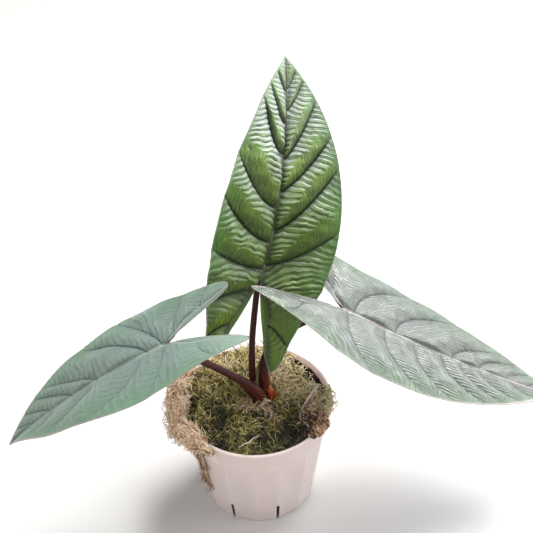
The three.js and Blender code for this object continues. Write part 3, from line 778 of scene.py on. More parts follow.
def vein_heights(leaf_name, half_name, across, curve):
    """How far forward each side vein of a half lies at each place across it, with both ends."""
    leaf = LEAF_SHAPES[leaf_name]
    lobe = leaf[half_name]["lobe"]
    veins = LEAF_VEINS[leaf_name]
    outward = across ** curve
    back = [-lobe * (start + (end - start) * outward) for start, end in veins[half_name + "_lobe"][::-1]]
    front = [leaf["length"] * (start + (end - start) * outward) for start, end in veins[half_name]]
    return np.stack([0 * across - PAST_LOBE * lobe] + back + front + [0 * across + leaf["length"]])


def vein_rows(pairs, row):
    """Starts and ends of rows that run with the side veins, closer together beside a vein."""
    starts, ends = (np.array([0.0] + [pair[k] for pair in pairs] + [1.0]) for k in (0, 1))
    knots = (starts + ends) / 2
    panel = np.clip(np.searchsorted(knots, row, side="right") - 1, 0, len(knots) - 2)
    width = knots[panel + 1] - knots[panel]
    place = (row - knots[panel]) / width
    row = knots[panel] + width * (place - 0.2 * np.sin(2 * np.pi * place) / (2 * np.pi))
    return np.interp(row, knots, starts), np.interp(row, knots, ends)


print("side veins:", {name: len(v["right"]) + len(v["left"]) for name, v in LEAF_VEINS.items()})

# %% [markdown]
# The young centre leaf is puffed high and creased sharply, and the older side leaves are
# flatter. Even the two halves of a leaf differ, so each has its own heights and angles.

# %% How high and how fine the relief of each half is
# curve bends the side veins toward the tip, and puff and groove are the heights of the quilts
# and the depths of the veins. crown is where a quilt's top lies, near the midrib and further
# out, and tip_crown how far it sinks toward the tip. ripple and under are the heights of the
# creases above and below it, spacing their distance, high and low their angles. warp and
# ragged make them uneven, fan, fall and lobe_turn bend them near the sinus, fine is the
# spacing of the skin's grain, and silver the share of painted sheen in a band above each side
# vein. For the whole leaf, wobble is the height of its slow swells and rib the width of its midrib.
PLAIN_HALF = dict(warp=0.2, fine=0.9, silver=0, fan=0, fall=0, lobe_turn=0, ragged=0.12, tip_crown=0)
LEAF_RELIEF = {
    "centre": dict(
        seed=11, wobble=0.5, rib=1.55,
        right=dict(curve=1.4, puff=3.6, groove=0.5, crown=(0.16, 0.48), tip_crown=0.15,
                   ripple=1.0, under=0.45, spacing=2.2, high=24, low=106, fine=1.0,
                   silver=0.6, fall=0.007, lobe_turn=15, ragged=0.3),
        left=dict(curve=1.8, puff=3.9, groove=0.5, crown=(0.36, 0.50), tip_crown=0.3,
                  ripple=1.1, under=0.75, spacing=2.2, high=20, low=106, fine=1.0,
                  silver=1.75, fall=0.008, lobe_turn=4, ragged=0.3),
    ),
    "left": dict(
        seed=23, wobble=0.7, rib=1.0,
        right=dict(curve=1.4, puff=2.2, groove=0.25, crown=(0.30, 0.50), ripple=0.85, under=0.45,
                   spacing=2.4, high=23, low=109, warp=0.22, fan=1),
        left=dict(curve=2.6, puff=1.2, groove=0.0, crown=(0.30, 0.50), ripple=0.42, under=0.28,
                  spacing=3.0, high=14, low=100, warp=0.25, fine=1.0, fan=1),
    ),
    "right": dict(
        seed=37, wobble=0.3, rib=1.0,
        right=dict(curve=2.4, puff=1.8, groove=0.05, crown=(0.42, 0.55), ripple=0.60, under=0.50,
                   spacing=1.9, high=48, low=88, fall=0.006),
        left=dict(curve=2.4, puff=2.5, groove=0.3, crown=(0.58, 0.66), ripple=0.46, under=0.46,
                  spacing=2.0, high=92, low=48),
    ),
}


def half_relief(leaf_name, half_name):
    return PLAIN_HALF | LEAF_RELIEF[leaf_name][half_name]


print("crease spacing, mm:", {name: half_relief(name, "right")["spacing"] for name in LEAF_RELIEF})

# %% [markdown]
# The fine creases are parallel lines, counted by a phase: where it is a whole number there is
# a crease. A slow seeded wave in the phase bends them, so that they don't look ruled.

# %% The fine creases between the side veins
SINUS_BLEND = 7.0
LIT_PLACE = 0.64
LIT_WIDTH = 0.16


def crease_wave(phase):
    """0 in a crease and 1 on the round crown between two creases."""
    return np.abs(np.sin(np.pi * phase)) ** 0.6


def lit_edge(phase):
    """1 along the edge of each ripple where a glint is painted."""
    return np.exp(-((phase % 1 - LIT_PLACE) / LIT_WIDTH) ** 2)


def line_phase(x, forward, degrees, spacing):
    """Counts parallel lines that leave the midrib at an angle, 0 straight out and 90 forward."""
    turn = np.radians(degrees)
    return (forward * np.cos(turn) - x * np.sin(turn)) / spacing


def ripples(relief, seed, x, y, place, width, crown):
    """The fine creases of a half: one family above the crown of each panel and one below it."""
    forward = np.sqrt(y ** 2 + SINUS_BLEND ** 2) - SINUS_BLEND
    warp = relief["warp"] * (wavy(seed + 2, 13, x, y) + 0.25 * wavy(seed + 5, 5.5, x, y))
    ragged = relief["ragged"] * wavy(seed + 6, 4.5, x, y)
    bow = 0.22 * width * np.clip(place, 0, 1) ** 2
    swing = 1 - relief["fan"] * (1 - np.tanh(y / (4 * SINUS_BLEND)))
    behind = 1 - between(y, -5, 25)
    fall = relief["fall"] * x ** 2 * (1 + 0.7 * behind)
    turn = swing * relief["high"] + relief["lobe_turn"] * behind
    high = line_phase(x, y - swing * bow + fall, turn, relief["spacing"]) + warp + 0.2 * ragged
    low = line_phase(x, forward, relief["low"], 0.9 * relief["spacing"]) + warp + ragged
    side = between(place, crown - 0.07, crown + 0.07)
    wave = crease_wave(high) * side + crease_wave(low) * (1 - side) - 0.5
    size = relief["ripple"] * side + relief["under"] * (1 - side)
    uneven = 0.78 + 0.35 * wavy(seed + 3, 9, x, y)
    finer = 2 * np.pi * relief["spacing"] / relief["fine"]
    lit = lit_edge(high) * side + lit_edge(low) * (1 - side)
    return wave, size * uneven, dict(fine_high=finer * high, fine_low=finer * low, side=side, lit=lit)


print("crease and crown:", [round(float(crease_wave(phase)), 2) for phase in (0, 0.25, 0.5)])

# %% [markdown]
# The large relief comes from where a point lies between two side veins: a quilt is a dome
# over that distance. The midrib is a cord in a trough, and both get thinner toward the tip.

# %% Quilts, side veins and midrib
NARROWEST_PANEL = 0.5
VEIN_WIDTH = 0.55
RIM_WIDTH = 0.45
RIB_DIP, RIB_CORD, RIM_HEIGHT = 0.75, 0.55, 0.10


def panels(leaf_name, half_name, y, across):
    """For each point the width of its panel, its place in it, and whether a real vein is near."""
    curve = half_relief(leaf_name, half_name)["curve"]
    veins = vein_heights(leaf_name, half_name, across, curve)
    panel = (y[None] >= veins[1:-1]).sum(axis=0)
    low = np.take_along_axis(veins, panel[None], axis=0)[0]
    high = np.take_along_axis(veins, panel[None] + 1, axis=0)[0]
    width = np.maximum(high - low, NARROWEST_PANEL)
    place = np.clip((y - low) / width, 0, 1)
    vein_below = (panel > 0) & (place <= 0.5)
    vein_above = (panel < len(veins) - 2) & (place > 0.5)
    return width, place, vein_below | vein_above


def crown_place(relief, seed, along, x, y, across):
    """Where the top of the quilt lies, as a share of the way from one side vein to the next."""
    near, far = relief["crown"]
    crown = near + (far - near) * smooth(across / 0.4) - 0.1 * between(across, 0.75, 1)
    crown = crown - relief["tip_crown"] * between(along, 0.45, 0.75)
    return np.clip(crown + 0.09 * wavy(seed + 1, 10, x, y), 0.08, 0.92)


def quilt_dome(place, crown):
    """0 at the side veins and 1 on the crown, and how far a point is above the crown."""
    below = np.clip(place / crown, 0, 1)
    above = np.clip((1 - place) / (1 - crown), 0, 1)
    return np.where(place < crown, 1 - (1 - below) ** 2.2, 1 - (1 - above) ** 2.0), 1 - above


def midrib(leaf, half, rib_width, y, from_rib):
    """How large the rib is here, and how much of a point lies in its trough and on its cord."""
    size = np.where(y >= 0, 1 - y / leaf["length"], 0.7 * (1 + y / half["lobe"]))
    least = 0.3 * between(-y, -0.97 * leaf["length"], -0.9 * leaf["length"]) + 0.1
    size = np.clip(size, least, 1)
    dip = np.exp(-(from_rib / rib_width / (0.7 + 1.1 * size)) ** 2)
    cord = np.exp(-(from_rib / rib_width / (0.25 + 0.5 * size)) ** 4)
    return size, dip, cord


def quilting(leaf_name, half_name, x, y, across, span, veined=1.0):
    """Relief in millimetres of points of a half blade, and the values its material reads."""
    leaf, whole = LEAF_SHAPES[leaf_name], LEAF_RELIEF[leaf_name]
    half, relief = leaf[half_name], half_relief(leaf_name, half_name)
    seed = whole["seed"] + (0 if half_name == "right" else 100)
    along = y / leaf["length"]
    from_rib = across * span
    inside_margin = 1 - between(across, 0.88, 1.0)
    softer = 1 - 0.35 * between(along, 0.5, 0.9)
    thin = np.sqrt(np.clip(span / (0.5 * leaf["half_width"]), 0.05, 1))

    width, place, near_vein = panels(leaf_name, half_name, y, across)
    crown = crown_place(relief, seed, along, x, y, across)
    dome, past_crown = quilt_dome(place, crown)
    foot = np.maximum(0.15 * span, 2.8 * np.sqrt(whole["rib"]))
    trough = 1 - np.clip(1 - from_rib / foot, 0, 1) ** 2.2
    reach = trough * (1 - 0.85 * between(across, 0.72, 1.0))
    size = np.sqrt(np.clip(width, 2, 40) / 20)
    puff = relief["puff"] * size * reach * thin * veined * softer * (dome - 0.35)

    wave, ripple, fine = ripples(relief, seed, x, y, place, width, crown)
    calm = between(across, 0.01, 0.06) * (0.4 + 0.6 * inside_margin) * thin
    vein_gap = np.minimum(place, 1 - place) * width * 0.8
    vein = softer * np.exp(-(vein_gap / VEIN_WIDTH) ** 2) * (0.2 + 0.8 * inside_margin) * near_vein * veined
    rib_size, rib_dip, rib_cord = midrib(leaf, half, whole["rib"], y, from_rib)
    rim = np.exp(-((1 - across) * span / RIM_WIDTH) ** 2)

    height = puff + ripple * softer * wave * calm - relief["groove"] * vein
    height = height + rib_size * (RIB_CORD * rib_cord - RIB_DIP * rib_dip) + RIM_HEIGHT * rim
    height = height + whole["wobble"] * wavy(seed + 4, 34, x, y) * between(across, 0.1, 0.6)
    stored = dict(
        # vein also covers the midrib's trough, which the green leaf paints dark as shade
        vein=np.maximum(vein, 0.6 * rib_dip * (1 - rib_cord)),
        # crease tells where painted shade goes in the creases
        crease=np.clip(0.5 - wave, 0, 1) * calm,
        # Where the painted glints go, along each ripple's upper edge
        crest=fine.pop("lit") * calm * np.clip(1.5 * ripple, 0, 1),
        # lobe also tells where the back lobes are brightened as painted light
        lobe=between(-y, 4, 34),
        # dome also tells where the hollows are painted dark as shade
        dome=dome * reach,
        # band is where painted sheen goes above each side vein
        band=relief["silver"] * fine["side"] * past_crown * between(across, 0, 0.08),
        rib=rib_cord,
        keel=rib_dip * rib_size,
        rim=rim,
        margin=between(across, 0.45, 1.0),
        toward_tip=between(along, 0.2, 0.9),
        **fine,
    )
    return height, stored


flat = np.full((1, 1), 15.0)
relief_there, _ = quilting("centre", "right", flat, 3 * flat, 0.4 + 0 * flat, 2.5 * flat)
print("relief of the centre leaf at one place, mm:", np.round(relief_there[0, 0], 2))

# %% [markdown]
# Each half blade is a grid whose rows follow the side veins, so that the grooves are crisp.
# The front grid runs from the sinus to the tip, and the back grid covers the lobe, with a
# narrow strip on the inner side of the lobe's own rib.

# %% The grids of a leaf
# Rows from the sinus to the tip, rows over a back lobe, and columns to the margin
LEAF_GRIDS = {"centre": (301, 124, 84), "left": (231, 98, 80), "right": (231, 98, 80)}
STRIP_COLUMNS = 12
STRIP_VEINED = 0.15


def front_grid(leaf_name, half_name):
    leaf = LEAF_SHAPES[leaf_name]
    rows, _, columns = LEAF_GRIDS[leaf_name]
    curve = LEAF_RELIEF[leaf_name][half_name]["curve"]
    step = np.linspace(0, 1, rows + 1)[:-1]
    row = step + 0.12 * np.sin(np.pi * step) / np.pi
    start, end = (side[:, None] for side in vein_rows(LEAF_VEINS[leaf_name][half_name], row))
    across = np.linspace(0, 1, columns + 1)[None] + 0 * start
    span = blade_half_width(leaf, end) + 0 * across
    x = span * across
    y = leaf["length"] * (start + (end - start) * across ** curve)
    height, stored = quilting(leaf_name, half_name, x, y, across, span)
    return x, y, height, stored


def lobe_grid(leaf_name, half_name):
    leaf = LEAF_SHAPES[leaf_name]
    half = leaf[half_name]
    _, rows, columns = LEAF_GRIDS[leaf_name]
    curve = LEAF_RELIEF[leaf_name][half_name]["curve"]
    row = np.sin(np.linspace(0, 1, rows + 1)[1:-1] * np.pi / 2)
    start, end = (side[:, None] for side in vein_rows(LEAF_VEINS[leaf_name][half_name + "_lobe"], row))
    across = np.linspace(0, 1, columns + 1)[None] + 0 * start
    strip = np.linspace(-1, 0, STRIP_COLUMNS + 1)[None, :-1] + 0 * start
    inner, outer = lobe_edges(leaf, half, start)
    rib = inner + LOBE_RIB_PLACE * smooth(start / 0.4) * (outer - inner)
    outer_span = lobe_edges(leaf, half, end)[1] - rib + 0 * across
    outer_x = rib + outer_span * across
    outer_y = -half["lobe"] * (start + (end - start) * across ** curve)
    outer_height, outer_stored = quilting(leaf_name, half_name, outer_x, outer_y, across, outer_span)
    strip_span = rib - inner + 0 * strip
    strip_x = rib + strip_span * strip
    strip_y = -half["lobe"] * start + 0 * strip
    strip_height, strip_stored = quilting(leaf_name, half_name, strip_x, strip_y, -strip, strip_span,
                                          STRIP_VEINED)
    stored = {key: np.hstack([strip_stored[key], outer_stored[key]]) for key in outer_stored}
    return (np.hstack([strip_x, outer_x]), np.hstack([strip_y, outer_y]),
            np.hstack([strip_height, outer_height]), stored)


print("points in the front of half a leaf:", front_grid("centre", "left")[0].size)

# %% [markdown]
# The lobe's grid hangs on the first row of the front grid, and single triangles end the skin
# at the tip, at the lobe's end and in the sinus.

# %% The faces of half a blade


def sheet_faces(index, flip):
    corners = (index[:-1, :-1], index[:-1, 1:], index[1:, 1:], index[1:, :-1])
    quads = np.stack(corners, axis=-1).reshape(-1, 4)
    return quads[:, ::-1] if flip else quads


def fan_faces(line, apex, flip):
    """Triangles from a line of point numbers to one point."""
    fan = np.stack([line[:-1], line[1:], np.full(len(line) - 1, apex)], axis=-1)
    return fan[:, ::-1] if flip else fan


def half_faces(front, lobe, tip, end, step, flip):
    """Faces of a half blade and its outline, taking every step-th row and column."""
    front, lobe = front[::step, ::step], lobe[::step, ::step]
    strip = STRIP_COLUMNS // step
    joint = np.stack([front[0], lobe[0, strip:]])
    quads = [sheet_faces(front, flip), sheet_faces(lobe, not flip), sheet_faces(joint, not flip)]
    triangles = [fan_faces(front[-1], tip, flip), fan_faces(lobe[-1], end, not flip),
                 fan_faces(lobe[0, :strip + 1], front[0, 0], flip)]
    line = np.concatenate([[front[0, 0]], lobe[:, 0], [end], lobe[::-1, -1], front[:, -1], [tip]])
    return np.concatenate(quads), np.concatenate(triangles), line


print("faces of a 3 by 4 grid:", len(sheet_faces(np.arange(12).reshape(3, 4), False)))

# %% [markdown]
# Now the flat places are bent and lifted by their relief. Each point also stores how far the
# face leans toward the tip there, because the material paints sheen on such slopes and shade
# on those that lean to the base.

# %% The upper face of a leaf


class LeafPoints:
    """Collects the points of a leaf, the way up at each, and the values that are stored there."""

    def __init__(self, leaf_name):
        self.leaf = LEAF_SHAPES[leaf_name]
        self.spots, self.facings, self.stored, self.total = [], [], [], 0

    def tip_slope(self, half, x, y, top, facing):
        """How far the face leans toward the tip, and below 0 where it leans to the base."""
        normal = np.cross(np.gradient(top, axis=1), np.gradient(top, axis=0))
        ahead = bent(self.leaf, half, x, y + 0.5)[0] - bent(self.leaf, half, x, y - 0.5)[0]
        size = np.linalg.norm(normal, axis=-1) * np.linalg.norm(ahead, axis=-1)
        turned = np.sign((normal * facing).sum(axis=-1))
        return turned * (normal * ahead).sum(axis=-1) / np.maximum(size, 1e-9)

    def add(self, half, x, y, height, values):
        spots, facing = bent(self.leaf, half, x, y)
        top = spots + facing * np.asarray(height)[..., None]
        slope = self.tip_slope(half, x, y, top, facing) if x.ndim > 1 else 0.0
        values = dict(values, tip_slope=slope)
        self.spots.append(top.reshape(-1, 3))
        self.facings.append(facing.reshape(-1, 3))
        self.stored.append({key: np.broadcast_to(v, x.shape).reshape(-1) for key, v in values.items()})
        index = self.total + np.arange(x.size).reshape(x.shape)
        self.total += x.size
        return index

    def joined(self):
        stored = {key: np.concatenate([part[key] for part in self.stored]) for key in self.stored[0]}
        return np.concatenate(self.spots), np.concatenate(self.facings), stored


def leaf_surface(leaf_name):
    """The points of a leaf's upper face, and for each half its point numbers."""
    points = LeafPoints(leaf_name)
    halves = []
    for half_name in ("right", "left"):
        half = points.leaf[half_name]
        x, y, height, values = front_grid(leaf_name, half_name)
        front = points.add(half, x, y, height, values)
        x, y, height, values = lobe_grid(leaf_name, half_name)
        lobe = points.add(half, x, y, height, values)
        plain = dict.fromkeys(values, 0.0) | dict(rim=1.0, margin=1.0)
        end_x = lobe_edges(points.leaf, half, 1.0)[0]
        end = points.add(half, np.array([end_x]), np.array([-half["lobe"]]), 0, plain)[0]
        tip = points.add(half, np.array([0.0]), np.array([points.leaf["length"]]), 0, plain)[0]
        halves.append((front, lobe, tip, end, half["side"] < 0))
    return points.joined(), halves


def weld(points, quads, triangles):
    """Makes one point of those in the same place, and drops points that no face uses."""
    _, first, alias = np.unique(np.round(points, 4), axis=0, return_index=True, return_inverse=True)
    alias = first[alias.reshape(-1)]
    quads, triangles = alias[quads], alias[triangles]
    quads = quads[~(quads == np.roll(quads, -1, axis=1)).any(axis=1)]
    triangles = triangles[~(triangles == np.roll(triangles, -1, axis=1)).any(axis=1)]
    used = np.unique(np.concatenate([quads.ravel(), triangles.ravel()]))
    renumber = np.zeros(len(points), int)
    renumber[used] = np.arange(len(used))
    return used, renumber[quads], renumber[triangles]


print("points of the centre leaf's upper face:", len(leaf_surface("centre")[0][0]))


# %% [markdown]
# The underside is the same surface moved down by the thickness, with the midrib as a keel. It
# is seldom seen from near, so it takes every second row and column, and a rounded rim joins
# the fine face to the coarse one. At last the points in the same place are welded.

# %% Close a leaf with its underside and rim
BLADE_THICKNESS = 0.62
RIM_THINNING = 0.45
VEIN_THICKENING = 0.25
KEEL_DEPTH = 1.7
RIM_BULGE = 0.16
UNDER_STEP = 2


def rim_faces(fine, coarse, edge, flip):
    """The rounded rim: from the fine line above by the edge to the coarse one below."""
    upper = np.stack([fine[:-1], fine[1:], edge[1:], edge[:-1]], axis=-1)
    places = np.flatnonzero(np.isin(fine, coarse))
    triangles = []
    for low, high, a, b in zip(places[:-1], places[1:], coarse[:-1], coarse[1:]):
        triangles += [(edge[k], edge[k + 1], a) for k in range(low, high)]
        triangles.append((edge[high], b, a))
    triangles = np.array(triangles)
    return (upper[:, ::-1], triangles[:, ::-1]) if flip else (upper, triangles)


def build_leaf(leaf_name, piece_name, finish):
    (top, facing, stored), halves = leaf_surface(leaf_name)
    count = len(top)
    thickness = BLADE_THICKNESS * (1 - RIM_THINNING * stored["rim"]) + VEIN_THICKENING * stored["vein"]
    bottom = top - facing * (thickness + KEEL_DEPTH * stored["keel"])[:, None]
    forward = leaf_axes(LEAF_SHAPES[leaf_name])[0]
    edge_points, quads, triangles = [], [], []
    total = 2 * count
    for front, lobe, tip, end, flip in halves:
        upper_quads, upper_triangles, fine = half_faces(front, lobe, tip, end, 1, flip)
        lower_quads, lower_triangles, coarse = half_faces(front, lobe, tip, end, UNDER_STEP, flip)
        middle = (top[fine] + bottom[fine]) / 2
        outward = np.cross(np.gradient(middle, axis=0), facing[fine]) * (-1 if flip else 1)
        outward /= np.maximum(np.linalg.norm(outward, axis=1, keepdims=True), 1e-9)
        outward[0], outward[-1] = -forward, forward
        edge_points.append(middle + RIM_BULGE * outward)
        edge = total + np.arange(len(fine))
        total += len(fine)
        rim_quads, rim_triangles = rim_faces(fine, coarse, edge, flip)
        # The coarse line is numbered like the upper face, and its points lie below
        rim_triangles = np.where(rim_triangles < count, rim_triangles + count, rim_triangles)
        quads += [upper_quads, lower_quads[:, ::-1] + count, rim_quads]
        triangles += [upper_triangles, lower_triangles[:, ::-1] + count, rim_triangles]
    points = np.concatenate([top, bottom] + edge_points)
    extra = total - 2 * count
    at_edge = dict.fromkeys(stored, 0.0) | dict(rim=1.0, margin=1.0)
    values = {key: np.concatenate([v, v, np.full(extra, at_edge[key])]) for key, v in stored.items()}
    values["under"] = np.concatenate([np.zeros(count), np.ones(count), np.full(extra, 0.5)])
    used, quads, triangles = weld(points, np.concatenate(quads), np.concatenate(triangles))
    piece = add_piece(piece_name, points[used], quads, finish, triangles,
                      {key: v[used] for key, v in values.items()})
    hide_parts("leaf_" + leaf_name)
    print("its thickness, mm:", round(thickness.min(), 2), "to", round(thickness.max(), 2))


print("blades are", BLADE_THICKNESS, "mm thick, with a keel", KEEL_DEPTH, "mm deep")


# %% [markdown]
# The three leaves are of one kind but three ages. The youngest, in the centre, is a glossy
# deep green, with painted glints and painted sheen on the slopes that face the tip. The left
# one has a matt sage bloom, and the right one a metallic silver sheen with painted glints. All
# have greener margins and a dull maroon underside. The stored values tell the colours where to
# go, so they follow the shape.

# %% The colours of a leaf, from its ground up


def skin_color(finish, look):
    """The blade's colour: painted shade deep beside the veins, brighter on the quilts, brightened on the
    back lobes as painted light, and brighter at the margin.
    """
    patch = finish.remap(finish.noise(11, detail=3), 0.35, 0.68)
    color = finish.mix(patch, look["green"], look["bright"])
    # Painted shade: low on the quilts, beside the side veins, the colour goes toward deep
    painted_hollow_shade = finish.remap(finish.stored("dome"), 0.1, 0.9)
    color = finish.mix(painted_hollow_shade, finish.mix(0.6, color, look["deep"]), color)
    near_base = finish.remap(finish.stored("toward_tip"), 0, 0.5, 0.75, 0)
    color = finish.mix(near_base, color, look["lush"])
    # Painted light: the back lobes, which hang in shade, are brightened
    color = finish.mix(finish.math("MULTIPLY", finish.stored("lobe"), 0.7), color, look["bright"])
    uneven = finish.remap(finish.noise(6), 0.3, 0.7, 0.35, 1)
    return finish.mix(finish.math("MULTIPLY", finish.stored("margin"), uneven), color, look["margin"])


def with_bloom_sheen_and_shade(finish, look, mist, color):
    """Pale bloom all over, painted sheen on slopes that face the tip, toward the tip and in bands above the
    side veins, and painted shade on slopes that lean to the base.
    """
    tip = finish.stored("toward_tip")
    share = finish.math("MULTIPLY", finish.remap(mist, 0.3, 0.7, 0.55, 1), look["bloom"])
    # Painted sheen on slopes that face the tip, growing toward the tip
    facing = finish.remap(finish.stored("tip_slope"), 0.02, 0.5)
    on_slopes = finish.remap(tip, 0, 0.55, look["slope_sheen"], look["slope_sheen"] + look["tip_sheen"])
    share = finish.math("MULTIPLY_ADD", facing, on_slopes, share)
    # Painted sheen gained toward the tip
    share = finish.math("MULTIPLY_ADD", tip, 0.7 * look["tip_sheen"], share)
    # Painted sheen in bands above the side veins
    streaky = finish.remap(mist, 0.3, 0.7, 0.6 * look["band_sheen"], look["band_sheen"])
    streaky = finish.math("MULTIPLY", streaky, finish.remap(tip, 0, 0.6, 0.3, 1))
    share = finish.math("MULTIPLY_ADD", finish.stored("band"), streaky, share)
    share = finish.math("MULTIPLY", share, finish.remap(finish.stored("margin"), 0, 1, 1, 0.6))
    color = finish.mix(share, color, look["bloom_and_sheen_color"])
    # Painted shade on slopes that lean to the base
    shade = finish.remap(finish.stored("tip_slope"), -0.45, 0.0, look["shade"], 0)
    return finish.mix(shade, color, look["deep"])


def with_glints(finish, look, mist, color):
    """Painted glints along the ripples' upper edges, weaker below the crowns and near the leaf's base."""
    spark = finish.math("MULTIPLY", finish.stored("crest"), finish.remap(mist, 0.35, 0.65, 0.3, 1))
    strength = finish.remap(finish.stored("toward_tip"), 0, 0.4, look["base_glint"], 1)
    spark = finish.math("MULTIPLY", spark, finish.math("MAXIMUM", strength, finish.stored("lobe")))
    above = finish.math("MULTIPLY", spark, finish.stored("side"))
    below = finish.math("MULTIPLY", spark, finish.math("SUBTRACT", 1, finish.stored("side")))
    color = finish.mix(finish.math("MULTIPLY", above, look["glint"]), color, look["glint_color"])
    return finish.mix(finish.math("MULTIPLY", below, look["glint"]), color, look["low_glint_color"])


def with_lines(finish, look, color):
    """Painted shade in the creases, then the side veins and midrib trough, near black as painted shade on
    the green leaf, the midrib, the rim and the finest dark specks of the skin.
    """
    # Painted shade in the creases
    crease = finish.remap(finish.stored("crease"), 0.55, 1.0, 0, 0.65)
    color = finish.mix(crease, color, look["deep"])
    # The side veins and the midrib's trough; on the green leaf their near-black colour is painted shade
    color = finish.mix(finish.stored("vein"), color, look["vein"])
    color = finish.mix(finish.stored("rib"), color, look["rib"])
    color = finish.mix(finish.remap(finish.stored("rim"), 0.3, 0.9, 0, 0.8), color, look["rim"])
    return finish.mix(finish.remap(finish.noise(0.45, detail=2), 0.3, 0.75, 0, 0.18), color, look["deep"])


print("last step to a leaf's colour:", with_lines.__doc__)

# %% [markdown]
# The underside takes its own colours, and the grain is relief that only the light sees.

# %% The underside and the skin's grain
BACK_COLORS = ((0.055, 0.022, 0.026), (0.09, 0.075, 0.05))
BACK_VEIN = (0.075, 0.012, 0.02)
BACK_RIB = (0.11, 0.02, 0.03)


def back_color(finish):
    back = finish.mix(finish.noise(9, detail=4), *BACK_COLORS)
    back = finish.mix(finish.stored("vein"), back, BACK_VEIN)
    return finish.mix(finish.stored("rib"), back, BACK_RIB)


def skin_grain(finish, depth):
    """Relief too fine for the mesh: lines beside the creases, a net of cells and a fine grain."""
    high = finish.math("SINE", finish.stored("fine_high"))
    low = finish.math("SINE", finish.stored("fine_low"))
    fine = finish.remap(finish.mix(finish.stored("side"), low, high), -1, 1)
    under = finish.bump(fine, depth, 0.8)
    net = finish.remap(finish.cells(1.3, feature="DISTANCE_TO_EDGE"), 0, 0.22)
    under = finish.bump(net, 0.05, 0.5, under=under)
    finish.bump(finish.noise(0.28, detail=2), 0.018, 0.5, under=under)


def leaf_finish(name, look, **values):
    finish = Finish(name, **values)
    mist = finish.noise(4.5, detail=4, rough=0.6)
    color = with_bloom_sheen_and_shade(finish, look, mist, skin_color(finish, look))
    color = with_lines(finish, look, with_glints(finish, look, mist, color))
    seen_from_below = finish.remap(finish.stored("under"), 0.6, 0.9)
    finish.set(Base_Color=finish.mix(seen_from_below, color, back_color(finish)))
    finish.set(Roughness=finish.remap(finish.noise(3, detail=3), 0.3, 0.7, *look["gloss"]))
    skin_grain(finish, look["grain"])
    return finish.material


print("the underside's colours:", BACK_COLORS)

# %% [markdown]
# A look lists a leaf's colours, then how much of each effect it has. bloom is the share of pale
# bloom all over, slope_sheen the painted sheen on slopes that face the tip, tip_sheen its gain
# toward the tip, and band_sheen the painted sheen above the side veins. shade is the painted
# shade on slopes that lean to the base, and glint the painted glints. The side leaves carry
# bloom all over, as a grey veil.

# %% The three looks
GREEN_LOOK = dict(
    deep=(0.010, 0.020, 0.004), green=(0.066, 0.128, 0.006), bright=(0.20, 0.35, 0.004),
    lush=(0.054, 0.110, 0.002), margin=(0.07, 0.19, 0.025), bloom_and_sheen_color=(0.375, 0.42, 0.43),
    glint_color=(0.56, 0.63, 0.56), low_glint_color=(0.30, 0.46, 0.04),
    # The near-black vein colour is painted shade in the sunk veins and the midrib's trough
    vein=(0.010, 0.020, 0.010), rib=(0.085, 0.10, 0.055), rim=(0.34, 0.42, 0.30),
    bloom=0.0, slope_sheen=0.05, tip_sheen=0.50, band_sheen=0.40,
    glint=0.6, base_glint=0.5, shade=0.5, gloss=(0.34, 0.46), grain=0.15,
)
SAGE_LOOK = dict(
    deep=(0.042, 0.070, 0.064), green=(0.120, 0.190, 0.146), bright=(0.142, 0.232, 0.144),
    lush=(0.112, 0.192, 0.154), margin=(0.12, 0.27, 0.12), bloom_and_sheen_color=(0.250, 0.318, 0.300),
    glint_color=(0.44, 0.54, 0.51), low_glint_color=(0.40, 0.50, 0.46),
    vein=(0.12, 0.18, 0.16), rib=(0.30, 0.36, 0.33), rim=(0.34, 0.27, 0.25),
    bloom=0.60, slope_sheen=0.30, tip_sheen=0.05, band_sheen=0.0,
    glint=0.4, base_glint=1, shade=0.45, gloss=(0.44, 0.58), grain=0.10,
)
SILVER_LOOK = dict(
    deep=(0.042, 0.050, 0.048), green=(0.075, 0.104, 0.081), bright=(0.090, 0.128, 0.086),
    lush=(0.080, 0.106, 0.088), margin=(0.095, 0.185, 0.09), bloom_and_sheen_color=(0.180, 0.188, 0.184),
    glint_color=(0.46, 0.48, 0.46), low_glint_color=(0.50, 0.52, 0.49),
    vein=(0.08, 0.095, 0.09), rib=(0.36, 0.33, 0.32), rim=(0.50, 0.42, 0.40),
    bloom=0.70, slope_sheen=0.30, tip_sheen=0.0, band_sheen=0.0,
    glint=0.75, base_glint=1, shade=0.35, gloss=(0.30, 0.46), grain=0.12,
)
green_leaf = leaf_finish("glossy_green_leaf", GREEN_LOOK, Specular_IOR_Level=0.4, Coat_Weight=0.1,
                         Coat_Roughness=0.35, Sheen_Weight=0.03)
sage_leaf = leaf_finish("matt_sage_leaf", SAGE_LOOK, Coat_Weight=0.05, Coat_Roughness=0.4,
                        Sheen_Weight=0.2, Sheen_Roughness=0.45)
silver_leaf = leaf_finish("metallic_silver_leaf", SILVER_LOOK, Metallic=0.25, Coat_Weight=0.15,
                          Coat_Roughness=0.3, Sheen_Weight=0.2, Sheen_Roughness=0.4)
print("leaf finishes:", green_leaf.name, sage_leaf.name, silver_leaf.name)

# %% [markdown]
# Now each leaf is made from its grids, and takes the place of its solid.

# %% Make the three leaves
build_leaf("centre", "centre_leaf_blade", green_leaf)
build_leaf("left", "left_leaf_blade", sage_leaf)
build_leaf("right", "right_leaf_blade", silver_leaf)

# %% [markdown]
# A stem is a smooth stalk whose foot widens into a sheath that once wrapped the next leaf.
# Its centre line is a smooth curve through a few measured places, of the same kind as in the
# CAD. The sheath's two edges meet in a shallow seam, a dip with a lip on each edge.

# %% A smooth line through places


def on_the_way(first, second, start, end, now):
    """The place reached now on the way from first, left at start, to second, reached at end."""
    return (end - now) / (end - start) * first + (now - start) / (end - start) * second


